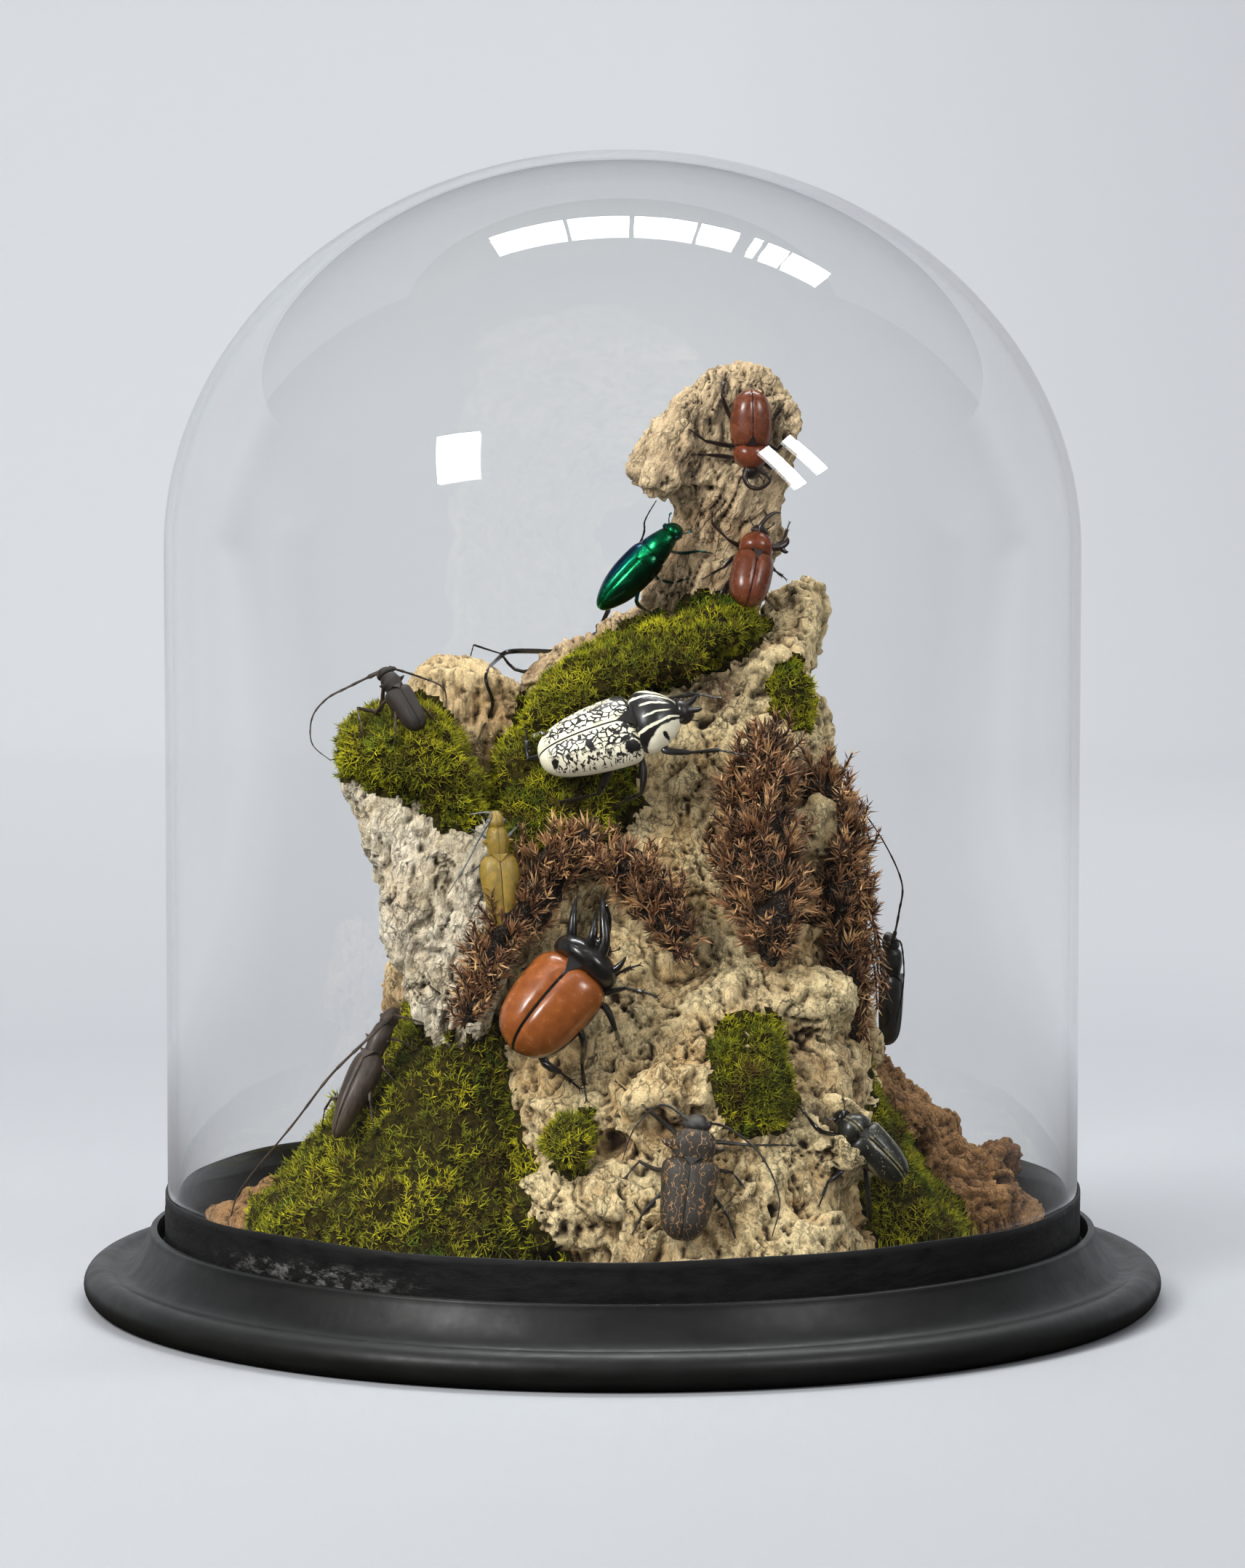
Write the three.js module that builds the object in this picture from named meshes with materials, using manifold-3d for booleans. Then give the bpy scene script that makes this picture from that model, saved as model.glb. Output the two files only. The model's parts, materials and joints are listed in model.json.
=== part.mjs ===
// A glass dome of mounted beetles: cork bark, driftwood, moss and dried heather on a turned black base.
// Millimetres, +Z up. The origin is the middle of the base's underside, and the front faces -Y.
import * as THREE from "three";
import { mergeVertices } from "three/addons/utils/BufferGeometryUtils.js";
import Module from "manifold-3d";

const wasm = await Module();
wasm.setup();

// ---- Driving dimensions -------------------------------------------------------------------------
const TURN_SIDES = 28; // facets round everything turned or blown
const TRUNK_SIDES = 7; // facets round an insect's body

const base = {
  radius: 237, // out to the rolled edge
  rollHigh: 16, // height of the rolled edge
  valley: 14, // lowest line of the cove, inside the rolled edge
  lipRadius: 208,
  lipHigh: 31.5,
  grooveOuter: 204.6,
  grooveInner: 193,
  grooveFloor: 22,
  plateau: 28, // the floor that the landscape stands on
};
const dome = {
  outer: 200,
  wall: 4,
  shoulder: 328, // height at which the straight side ends
  top: 502,
  seat: 22.3,
};
const band = { thick: 1, gap: 0.35, foot: 22.3, top: 49 };

const GAP = 0.5; // clearance left between touching pieces
const FLOOR = base.plateau + 0.3; // the landscape's underside
const INSIDE = 191; // the landscape stays within this radius

// ---- Colours --------------------------------------------------------------------------------------
const finish = (color, roughness = 0.8, more = {}) =>
  new THREE.MeshStandardMaterial({ color, roughness, metalness: 0, flatShading: true, ...more });
const paint = {
  ebonised: finish(0x151515, 0.45),
  blackPaper: finish(0x1b1a1a, 0.6),
  glass: finish(0xdfe8e6, 0.03, { transparent: true, opacity: 0.25 }),
  cork: finish(0xc2ab82, 0.95),
  greyCork: finish(0xb9ad99, 0.95),
  rustCork: finish(0x9a6a3e, 0.95),
  driftwood: finish(0x9b8261, 0.9),
  moss: finish(0x5a6b1d, 1),
  heather: finish(0x6b3d2a, 1),
};

// ---- Small tools ----------------------------------------------------------------------------------
const vec = (x, y, z) => new THREE.Vector3(x, y, z);

// Smooth, repeatable unevenness between -1 and 1.
function uneven(x, y, z, seed) {
  const s = seed * 1.7;
  const broad = Math.sin(0.071 * x + 1.9 * s) + Math.sin(0.083 * z + 0.7 * s) + Math.sin(0.079 * y - s);
  const fine = Math.sin(0.19 * x - 0.11 * z + s) * Math.sin(0.23 * z + 0.13 * y + 2.1 * s);
  return 0.22 * broad + 0.34 * fine;
}

// Catmull-Rom value of one column of a station table at row t.
function smoothColumn(rows, column, t) {
  const last = rows.length - 1;
  const i = Math.min(last - 1, Math.floor(t));
  const u = t - i;
  const at = (k) => rows[Math.min(last, Math.max(0, k))][column];
  const [a, b, c, d] = [at(i - 1), at(i), at(i + 1), at(i + 2)];
  const cubic = (-a + 3 * b - 3 * c + d) * u * u * u;
  return 0.5 * (cubic + (2 * a - 5 * b + 4 * c - d) * u * u + (c - a) * u + 2 * b);
}

// Closed skin over equal rings of points, with a fan at each end.
function skin(rings) {
  const sides = rings[0].length;
  const points = rings.flat();
  const middle = (ring) => ring.reduce((sum, p) => sum.add(p), vec(0, 0, 0)).divideScalar(sides);
  const bottom = points.push(middle(rings[0])) - 1;
  const top = points.push(middle(rings.at(-1))) - 1;
  const index = [];
  for (let r = 0; r < rings.length - 1; r++) {
    for (let s = 0; s < sides; s++) {
      const a = r * sides + s;
      const b = r * sides + ((s + 1) % sides);
      index.push(a, b, b + sides, a, b + sides, a + sides);
    }
  }
  const lastRing = (rings.length - 1) * sides;
  for (let s = 0; s < sides; s++) {
    const next = (s + 1) % sides;
    index.push(bottom, next, s, top, lastRing + s, lastRing + next);
  }
  const geometry = new THREE.BufferGeometry().setFromPoints(points);
  geometry.setIndex(index);
  return geometry;
}

function solid(geometry) {
  const bare = geometry.clone();
  for (const name of Object.keys(bare.attributes)) {
    if (name !== "position") bare.deleteAttribute(name);
  }
  const merged = mergeVertices(bare, 1e-4);
  const mesh = new wasm.Mesh({
    numProp: 3,
    vertProperties: new Float32Array(merged.attributes.position.array),
    triVerts: new Uint32Array(merged.index.array),
  });
  const made = new wasm.Manifold(mesh);
  if (made.volume() >= 0) return made;
  for (let i = 0; i < mesh.triVerts.length; i += 3) {
    [mesh.triVerts[i], mesh.triVerts[i + 1]] = [mesh.triVerts[i + 1], mesh.triVerts[i]];
  }
  return new wasm.Manifold(mesh);
}

function geometryOf(body) {
  const mesh = body.getMesh();
  const geometry = new THREE.BufferGeometry();
  geometry.setAttribute("position", new THREE.BufferAttribute(new Float32Array(mesh.vertProperties), 3));
  geometry.setIndex(new THREE.BufferAttribute(new Uint32Array(mesh.triVerts), 1));
  geometry.computeVertexNormals();
  return geometry;
}

// The same body, pushed out by the clearance on every face round each corner, so that what is cut by it stays clear.
function grown(body) {
  const geometry = geometryOf(body);
  const p = geometry.attributes.position;
  const index = geometry.index;
  const facing = Array.from({ length: p.count }, () => []);
  const [a, b, c] = [vec(0, 0, 0), vec(0, 0, 0), vec(0, 0, 0)];
  for (let i = 0; i < index.count; i += 3) {
    const corners = [index.getX(i), index.getX(i + 1), index.getX(i + 2)];
    [a, b, c].forEach((v, k) => v.fromBufferAttribute(p, corners[k]));
    const normal = b.clone().sub(a).cross(c.clone().sub(a)).normalize();
    for (const k of corners) facing[k].push(normal);
  }
  facing.forEach((normals, i) => {
    const n = normals.reduce((sum, m) => sum.add(m), vec(0, 0, 0)).normalize();
    const least = Math.min(...normals.map((m) => m.dot(n)));
    const by = GAP / Math.max(0.3, least);
    p.setXYZ(i, p.getX(i) + by * n.x, p.getY(i) + by * n.y, p.getZ(i) + by * n.z);
  });
  return solid(geometry);
}

const biggest = (body) => body.decompose().sort((a, b) => b.volume() - a.volume())[0];
const joined = (bodies) => bodies.reduce((sum, b) => sum.add(b));

// The largest piece of a body, once its corners are stored as 32-bit numbers.
function settled(body) {
  let left = body;
  for (let i = 0; i < 4; i++) {
    left = solid(geometryOf(biggest(left)));
    if (left.decompose().length === 1) break;
  }
  return left;
}

// Bodies already placed. Each new one is cut back from those it meets, then made plainer where that leaves it clear.
const placed = [];
function fitted(body, plain = 0.1) {
  let left = body.simplify(plain);
  for (const other of placed) {
    for (const cutter of [other.wide, other.body]) {
      if (left.intersect(cutter).volume() > 0) left = left.subtract(cutter);
    }
  }
  const tries = [0.7, 0.45, 0.2, 0].map((part) => settled(biggest(left).simplify(part * GAP)));
  return tries.find((one) => placed.every((other) => one.intersect(other.body).volume() < 0.005)) ?? tries.at(-1);
}

const root = new THREE.Group();
const targets = []; // what the insects stand on

function add(name, body, material, { carries = false } = {}) {
  const mesh = new THREE.Mesh(geometryOf(body), material);
  mesh.name = name;
  root.add(mesh);
  placed.push({ name, body, wide: grown(body) });
  if (carries) {
    mesh.updateMatrixWorld(true);
    targets.push(mesh);
  }
}

// ---- Base, glass and band ------------------------------------------------------------------------
function turned(profile) {
  return solid(new THREE.LatheGeometry(profile.map(([r, z]) => new THREE.Vector2(r, z)), TURN_SIDES).rotateX(Math.PI / 2));
}

function baseBody() {
  const r = base.rollHigh / 2;
  const roll = [];
  for (let i = 0; i <= 4; i++) {
    const a = THREE.MathUtils.degToRad(-60 + i * 54);
    roll.push([base.radius - r + r * Math.cos(a), r + r * Math.sin(a)]);
  }
  const cove = [];
  const coveOut = base.radius - 2 * r - 1.5;
  for (let i = 0; i <= 3; i++) {
    const t = i / 3;
    cove.push([coveOut + (base.lipRadius - coveOut) * t, base.valley + (base.lipHigh - 1.5 - base.valley) * t ** 1.7]);
  }
  return turned([
    [0, 0],
    [base.radius - 12, 0],
    ...roll,
    ...cove,
    [base.lipRadius - 0.8, base.lipHigh],
    [base.grooveOuter, base.lipHigh],
    [base.grooveOuter, base.grooveFloor],
    [base.grooveInner, base.grooveFloor],
    [base.grooveInner, base.plateau],
    [0, base.plateau],
  ]);
}

function domeBody() {
  const cap = (radius, high, count) =>
    Array.from({ length: count + 1 }, (_, i) => {
      const a = (i / count) * (Math.PI / 2);
      return [radius * Math.cos(a), dome.shoulder + high * Math.sin(a)];
    });
  const outside = cap(dome.outer, dome.top - dome.shoulder, 6);
  const inside = cap(dome.outer - dome.wall, dome.top - dome.wall - dome.shoulder, 6);
  outside.at(-1)[0] = 0;
  inside.at(-1)[0] = 0;
  return turned([
    ...inside.reverse(),
    [dome.outer - dome.wall, dome.seat],
    [dome.outer, dome.seat],
    ...outside,
  ]);
}

function bandBody() {
  const inner = dome.outer + band.gap;
  const outer = inner + band.thick;
  return turned([[inner, band.foot], [outer, band.foot], [outer, band.top], [inner, band.top], [inner, band.foot]]);
}

// ---- Wood, moss and heather ----------------------------------------------------------------------
// Each row of a loft is [height, left, right, front, back]. Rows run upwards, and a body is cut off flat at the floor.
function loft(rows, { sides = 16, step = 12, square = 2.3, rough = 3, seed = 1 } = {}) {
  const last = rows.length - 1;
  const levels = Math.max(4, Math.round((rows[last][0] - rows[0][0]) / step));
  const rings = [];
  for (let k = 0; k <= levels; k++) {
    const t = (k / levels) * last;
    const [z, left, right, front, back] = [0, 1, 2, 3, 4].map((c) => smoothColumn(rows, c, t));
    const ring = [];
    for (let s = 0; s < sides; s++) {
      const a = (s / sides) * 2 * Math.PI;
      const c = Math.sign(Math.cos(a)) * Math.abs(Math.cos(a)) ** (2 / square);
      const d = Math.sign(Math.sin(a)) * Math.abs(Math.sin(a)) ** (2 / square);
      const x = (left + right) / 2 + ((right - left) / 2) * c;
      const y = (front + back) / 2 + ((back - front) / 2) * d;
      const push = rough * uneven(x, y, z, seed);
      ring.push(vec(x + push * Math.cos(a), y + push * Math.sin(a), k && k < levels ? z + 0.4 * push : z));
    }
    rings.push(ring);
  }
  return solid(skin(rings));
}

// A limb through points [x, y, z, half width, half depth], lying mostly along X or Z.
function limb(rows, { sides = 10, per = 3, rough = 1.5, seed = 1 } = {}) {
  const last = rows.length - 1;
  const count = last * per;
  const middles = [];
  for (let k = 0; k <= count; k++) {
    middles.push([0, 1, 2, 3, 4].map((c) => smoothColumn(rows, c, (k / count) * last)));
  }
  const rings = middles.map(([x, y, z, wide, deep], k) => {
    const before = middles[Math.max(0, k - 1)];
    const after = middles[Math.min(count, k + 1)];
    const along = vec(after[0] - before[0], after[1] - before[1], after[2] - before[2]).normalize();
    const across = vec(0, 1, 0).cross(along).normalize();
    const deepways = along.clone().cross(across);
    return Array.from({ length: sides }, (_, s) => {
      const a = (s / sides) * 2 * Math.PI;
      const p = vec(x, y, z).addScaledVector(across, wide * Math.cos(a)).addScaledVector(deepways, deep * Math.sin(a));
      const push = rough * uneven(p.x, p.y, p.z, seed);
      return p.addScaledVector(across, push * Math.cos(a)).addScaledVector(deepways, push * Math.sin(a));
    });
  });
  return solid(skin(rings));
}

// Everything inside the dome stands on the floor and keeps off the glass.
const room = turned([[0, FLOOR], [INSIDE, FLOOR], [INSIDE, dome.shoulder], [0, dome.top - 40]]);
const inRoom = (body) => body.intersect(room);

// A blunt faceted lump of bark, or what a hollow takes out of it.
function lump(x, y, z, wide, deep, high) {
  return solid(new THREE.IcosahedronGeometry(1, 0).scale(wide, deep, high).translate(x, y, z));
}

function woodPieces() {
  const corkMain = loft(
    [
      [20, -62, 122, -184, 128],
      [60, -62, 114, -165, 122],
      [95, -64, 110, -146, 112],
      [130, -62, 109, -118, 98],
      [165, -58, 107, -94, 84],
      [200, -52, 100, -72, 70],
      [232, -42, 93, -56, 56],
      [256, -30, 88, -42, 44],
      [272, -6, 87, -32, 36],
      [284, 30, 88, -22, 30],
      [292, 58, 88, -12, 24],
      [303, 68, 87, -4, 20],
      [312, 76, 85, 2, 14],
    ],
    { sides: 14, step: 26, square: 2.5, rough: 6, seed: 1 },
  );
  const lumps = [
    [-18, -146, 62, 34, 20, 20],
    [58, -148, 46, 40, 22, 18],
    [84, -118, 84, 24, 24, 26],
    [16, -132, 106, 30, 16, 16],
    [72, -92, 140, 30, 20, 20],
    [84, -52, 204, 18, 20, 26],
    [10, 84, 176, 46, 20, 34],
    [70, 104, 92, 40, 22, 40],
  ].map((one) => lump(...one));
  const pits = [
    [-8, -150, 88, 13, 14, 7],
    [30, -104, 160, 8, 12, 7],
    [48, -118, 128, 12, 12, 6],
    [52, -58, 240, 8, 10, 6],
  ].map((one) => lump(...one));
  const barkMain = inRoom(joined([corkMain, ...lumps])).subtract(joined(pits));
  add("cork_main", biggest(barkMain.simplify(0.8)), paint.cork, { carries: true });

  const leftRear = loft(
    [
      [20, -122, -36, -52, 40],
      [70, -112, -38, -48, 36],
      [124, -105, -44, -44, 28],
      [165, -104, -44, -42, 20],
      [204, -100, -40, -40, 14],
      [240, -97, -36, -38, 8],
      [262, -96, -37, -34, 4],
      [274, -92, -44, -30, -2],
      [281, -84, -62, -24, -10],
    ],
    { sides: 10, step: 30, square: 2.8, rough: 4, seed: 4 },
  );
  add("cork_left_rear", fitted(inRoom(leftRear), 1), paint.cork, { carries: true });

  const leftSlab = loft(
    [
      [107, -80, -71, -96, -88],
      [118, -83, -60, -100, -84],
      [135, -88, -53, -102, -78],
      [155, -95, -49, -101, -72],
      [175, -101, -49, -98, -66],
      [198, -105, -52, -94, -60],
      [216, -109, -60, -90, -56],
      [232, -114, -72, -84, -50],
      [243, -104, -84, -78, -56],
    ],
    { sides: 12, step: 15, square: 2.8, rough: 4, seed: 7 },
  );
  add("cork_left_slab", fitted(leftSlab, 1), paint.greyCork, { carries: true });

  const rightFoot = loft(
    [
      [20, 40, 192, -74, 96],
      [38, 44, 184, -70, 88],
      [52, 50, 170, -64, 78],
      [66, 56, 155, -56, 66],
      [82, 62, 138, -48, 54],
      [99, 68, 123, -40, 42],
      [113, 76, 108, -30, 28],
    ],
    { sides: 14, step: 15, square: 2.2, rough: 4.5, seed: 9 },
  );
  const rightLumps = [
    [150, -26, 48, 22, 26, 16],
    [124, -30, 78, 18, 18, 18],
    [160, 30, 50, 20, 26, 16],
  ].map((one) => lump(...one));
  add("cork_right_foot", fitted(inRoom(joined([rightFoot, ...rightLumps])), 1), paint.rustCork, { carries: true });

  const leftFoot = loft(
    [
      [20, -186, -60, -62, 40],
      [34, -187, -60, -58, 36],
      [42, -176, -64, -48, 30],
      [50, -154, -70, -38, 24],
    ],
    { sides: 12, step: 9, square: 2.1, rough: 2, seed: 3 },
  );
  add("cork_left_foot", fitted(inRoom(leftFoot), 1), paint.rustCork, { carries: true });

  const postTrunk = loft(
    [
      [262, 2, 56, 2, 46],
      [285, 2, 60, -6, 40],
      [304, 6, 62, -10, 30],
      [320, 13, 70, -10, 24],
      [334, 13, 69, -10, 20],
      [347, 16, 73, -12, 18],
      [356, 10, 77, -14, 18],
      [370, 8, 81, -15, 16],
      [384, 15, 79, -14, 16],
      [396, 24, 74, -12, 14],
      [405, 35, 66, -8, 12],
      [410, 44, 60, -4, 8],
    ],
    { sides: 10, step: 17, square: 2.5, rough: 2.6, seed: 5 },
  );
  const postRidge = limb(
    [
      [-44, 8, 268, 6, 8],
      [-36, 8, 272, 9, 12],
      [-18, 8, 278, 12, 16],
      [4, 8, 287, 15, 18],
      [26, 8, 296, 14, 18],
    ],
    { sides: 6, per: 1, rough: 1.5, seed: 6 },
  );
  const overhang = loft(
    [
      [350, 9, 16, -22, 4],
      [358, 7, 27, -24, 8],
      [370, 7, 34, -22, 8],
      [384, 15, 34, -19, 8],
      [394, 24, 36, -16, 6],
    ],
    { sides: 6, step: 14, rough: 1.5, seed: 8 },
  );
  add("driftwood_post", fitted(joined([postTrunk, postRidge, overhang]), 0.5), paint.driftwood, { carries: true });
}

function mossPieces() {
  const bank = (name, rows, options) => {
    add(name, fitted(inRoom(loft(rows, options)), 1), paint.moss, { carries: true });
  };
  bank(
    "moss_front_left",
    [
      [20, -176, 0, -176, 34],
      [44, -160, -6, -166, 30],
      [66, -144, -18, -150, 24],
      [90, -126, -28, -130, 18],
      [112, -110, -40, -112, 8],
      [128, -98, -48, -98, -4],
      [136, -90, -60, -88, -20],
    ],
    { sides: 12, step: 26, square: 2.0, rough: 4, seed: 2 },
  );
  bank(
    "moss_front_right",
    [
      [20, 106, 158, -128, -30],
      [42, 102, 147, -118, -34],
      [66, 96, 128, -104, -36],
      [84, 92, 121, -90, -38],
      [103, 90, 108, -76, -42],
      [114, 92, 100, -66, -46],
    ],
    { sides: 10, step: 20, rough: 3, seed: 3 },
  );
  bank(
    "moss_back_left",
    [
      [20, -150, 10, 20, 160],
      [48, -132, 10, 20, 142],
      [76, -112, 0, 20, 120],
      [104, -90, -16, 18, 98],
      [126, -72, -34, 16, 78],
    ],
    { sides: 10, step: 28, rough: 4, seed: 5 },
  );
  bank(
    "moss_back_right",
    [
      [20, 20, 142, 60, 164],
      [44, 30, 126, 60, 150],
      [68, 40, 108, 58, 128],
      [88, 54, 90, 56, 106],
    ],
    { sides: 10, step: 22, rough: 4, seed: 6 },
  );
  bank(
    "moss_summit",
    [
      [250, -46, -30, -56, -24],
      [262, -44, -8, -60, -12],
      [272, -38, 16, -62, 0],
      [282, -26, 44, -56, 4],
      [292, -4, 62, -46, 6],
      [300, 16, 60, -34, 4],
      [306, 34, 52, -24, 2],
    ],
    { sides: 10, step: 14, rough: 3, seed: 7 },
  );
  bank(
    "moss_under_goliath",
    [
      [196, -44, -22, -86, -40],
      [210, -56, -4, -86, -36],
      [226, -60, 6, -80, -34],
      [242, -56, 0, -72, -30],
      [256, -46, -18, -58, -26],
    ],
    { sides: 8, step: 15, rough: 3, seed: 8 },
  );
  bank(
    "moss_left_top",
    [
      [212, -78, -62, -88, -34],
      [226, -92, -56, -94, -32],
      [240, -124, -60, -98, -34],
      [254, -122, -68, -90, -32],
      [264, -108, -80, -74, -32],
    ],
    { sides: 10, step: 14, rough: 3, seed: 9 },
  );
  bank(
    "moss_prong",
    [
      [246, 64, 80, -34, 0],
      [258, 60, 82, -38, 2],
      [270, 62, 80, -36, 4],
      [280, 66, 76, -28, 4],
    ],
    { sides: 7, step: 11, rough: 1.5, seed: 10 },
  );
  bank(
    "moss_cushion",
    [
      [94, 46, 66, -146, -110],
      [106, 38, 72, -148, -108],
      [122, 36, 70, -140, -102],
      [136, 42, 64, -126, -98],
    ],
    { sides: 8, step: 12, rough: 2, seed: 11 },
  );
  bank(
    "moss_tuft",
    [
      [80, -30, -16, -162, -140],
      [90, -34, -10, -162, -136],
      [100, -28, -14, -154, -134],
    ],
    { sides: 7, step: 7, rough: 1.5, seed: 12 },
  );
}

function heatherPieces() {
  const spray = (name, rows, seed) => {
    add(name, fitted(limb(rows, { sides: 8, per: 1, rough: 2.2, seed })), paint.heather);
  };
  spray(
    "heather_left",
    [
      [-66, -118, 132, 6, 6],
      [-60, -112, 150, 10, 9],
      [-48, -106, 172, 13, 11],
      [-34, -98, 192, 14, 11],
      [-18, -92, 206, 13, 10],
      [-8, -86, 214, 6, 6],
    ],
    2,
  );
  spray(
    "heather_middle",
    [
      [-12, -98, 202, 8, 8],
      [2, -98, 198, 13, 10],
      [14, -104, 184, 14, 10],
      [22, -112, 168, 11, 8],
      [26, -116, 158, 5, 5],
    ],
    3,
  );
  spray(
    "heather_right_inner",
    [
      [60, -62, 254, 8, 6],
      [58, -72, 240, 14, 11],
      [56, -84, 222, 17, 13],
      [56, -94, 202, 18, 14],
      [58, -102, 182, 17, 13],
      [60, -108, 166, 11, 9],
      [62, -110, 156, 5, 5],
    ],
    4,
  );
  spray(
    "heather_right_outer",
    [
      [86, -40, 236, 9, 8],
      [93, -52, 220, 14, 12],
      [98, -62, 198, 17, 14],
      [100, -70, 174, 16, 14],
      [100, -74, 150, 13, 12],
      [100, -74, 130, 9, 9],
      [102, -74, 118, 5, 5],
    ],
    5,
  );
}

// ---- Beetles ---------------------------------------------------------------------------------------
// The first surface met going back from the front (or forwards from behind) at a point of the front view.
const ray = new THREE.Raycaster();
function depthAt(x, z, fromBehind = false) {
  ray.set(vec(x, fromBehind ? 400 : -400, z), vec(0, fromBehind ? -1 : 1, 0));
  return ray.intersectObjects(targets)[0]?.point.y;
}

// How far the bark or moss rises above the plane of a frame, at a place in that plane.
function riseAt(frame, along, side) {
  const up = vec(0, 0, 1).transformDirection(frame);
  ray.set(vec(along, side, 40).applyMatrix4(frame), up.negate());
  const hit = ray.intersectObjects(targets)[0];
  return hit && hit.distance < 75 ? 40 - hit.distance : undefined;
}

// A frame on the surface: its middle is the waist, X runs forwards to the head and Z away from the bark.
function seat({ tail, nose, out, depths = [], behind, elytra }) {
  const place = ([x, z], given) => vec(x, given ?? depthAt(x, z, behind) ?? 0, z);
  const rear = place(tail, depths[0]);
  const front = place(nose, depths[1]);
  const ahead = front.clone().sub(rear).normalize();
  const up = vec(...out);
  up.addScaledVector(ahead, -up.dot(ahead)).normalize();
  const long = front.distanceTo(rear);
  const waist = rear.clone().addScaledVector(ahead, long * 0.66);
  const frame = new THREE.Matrix4().makeBasis(ahead, up.clone().cross(ahead), up).setPosition(waist);
  const rises = [];
  for (const along of [-0.6, -0.45, -0.3, -0.15, 0, 0.15, 0.28]) {
    for (const side of [-0.3, 0, 0.3]) {
      const rise = riseAt(frame, along * long, side * elytra.wide);
      if (rise !== undefined) rises.push(rise);
    }
  }
  const lift = Math.min(Math.max(0, ...rises), 14) + 1;
  return { frame: frame.setPosition(waist.addScaledVector(up, lift)), long };
}

// Wing cases, pronotum and head as one skin along X, from the tail to the mouth. Its flat belly is at Z = 0.
function trunk(long, { elytra, pronotum, head }) {
  const stations = [
    [-0.66, elytra, 0.4],
    [-0.56, elytra, 0.82],
    [-0.34, elytra, 1],
    [-0.06, elytra, 0.9],
    [0.0, pronotum, 0.84],
    [0.09, pronotum, 1],
    [0.2, pronotum, 0.66],
    [0.24, head, 1],
    [0.34, head, 0.6],
  ];
  const low = elytra.low;
  const rings = stations.map(([at, part, size]) =>
    Array.from({ length: TRUNK_SIDES }, (_, s) => {
      const a = ((s + 0.5) / TRUNK_SIDES) * 2 * Math.PI;
      const tall = Math.sin(a) > 0 ? part.high : low;
      return vec(at * long, (part.wide / 2) * size * Math.cos(a), low + tall * size * Math.sin(a));
    }),
  );
  return skin(rings);
}

// A tapering rod through points.
function rod(points, thickFrom, thickTo, sides = 3) {
  const rings = points.map((p, i) => {
    const along = points[Math.min(points.length - 1, i + 1)].clone().sub(points[Math.max(0, i - 1)]).normalize();
    const helper = Math.abs(along.z) < 0.8 ? vec(0, 0, 1) : vec(1, 0, 0);
    const u = along.clone().cross(helper).normalize();
    const v = u.clone().cross(along);
    const r = (thickFrom + ((thickTo - thickFrom) * i) / (points.length - 1)) / 2;
    return Array.from({ length: sides }, (_, s) => {
      const a = (s / sides) * 2 * Math.PI;
      return p.clone().addScaledVector(u, r * Math.cos(a)).addScaledVector(v, -r * Math.sin(a));
    });
  });
  return skin(rings);
}

// Legs are given by hip, side (1 left, -1 right) and either places of the front view or a foot beside the body.
const leg = (hip, side, ...path) => ({ hip, side, path });
const reach = (hip, side, along, out) => ({ hip, side, foot: [along, out] });

function legPoints({ hip, side, path, foot }, frame, long, { elytra, legThick, behind }) {
  const hipX = { front: long * 0.1, middle: -long * 0.06, hind: -long * 0.22 }[hip];
  const start = vec(hipX, side * elytra.wide * 0.26, elytra.low * 0.6).applyMatrix4(frame);
  if (!path) {
    const rise = Math.max(riseAt(frame, foot[0], side * foot[1]) ?? -12, -20);
    const end = vec(foot[0], side * foot[1], rise + 1.2).applyMatrix4(frame);
    const knee = start.clone().lerp(end, 0.42);
    knee.addScaledVector(vec(0, 0, 1).transformDirection(frame), legThick * 1.6 + Math.max(0, rise) * 0.5);
    return [start, knee, end];
  }
  let y = start.y;
  const sign = behind ? 1 : -1;
  const knee = path[path.length > 2 ? 1 : 0];
  const places = [knee, path.at(-1)].map(([x, z], i) => {
    y = depthAt(x, z, behind) ?? y;
    return vec(x, y + sign * (i ? 1.4 : legThick * 1.6), z);
  });
  return [start, ...places];
}

function beetle(name, spec) {
  const { frame, long } = seat(spec);
  const shapes = [trunk(long, spec)];
  for (const horn of spec.horns ?? []) {
    shapes.push(rod(horn.path.map(([x, y, z]) => vec(long * 0.3 + x, y, z)), horn.from, horn.to));
  }
  let body = joined(shapes.map((g) => solid(g.applyMatrix4(frame))));
  for (const one of spec.legs) {
    body = body.add(solid(rod(legPoints(one, frame, long, spec), spec.legThick, spec.legThick * 0.5)));
  }
  for (const feeler of spec.antennae ?? []) {
    const start = vec(long * 0.29, 0, spec.elytra.low + spec.head.high * 0.4).applyMatrix4(frame);
    const points = [start, ...feeler.map((p) => vec(...p))];
    const thick = spec.feelerThick ?? 1.2;
    body = body.add(solid(rod(points, thick * 1.3, thick * 0.7)));
  }
  add(name, fitted(body, 0.3), finish(spec.color, spec.gloss ?? 0.35));
}

function rhinoHorns() {
  return [
    { from: 4.5, to: 1.6, path: [[-1, 0, 5], [4, 0, 6], [7, 1.4, 10], [7, 3, 15]] },
    { from: 4.5, to: 1.6, path: [[-7, 0, 9], [-1, 0, 13], [4, -1, 16]] },
  ];
}

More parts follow.
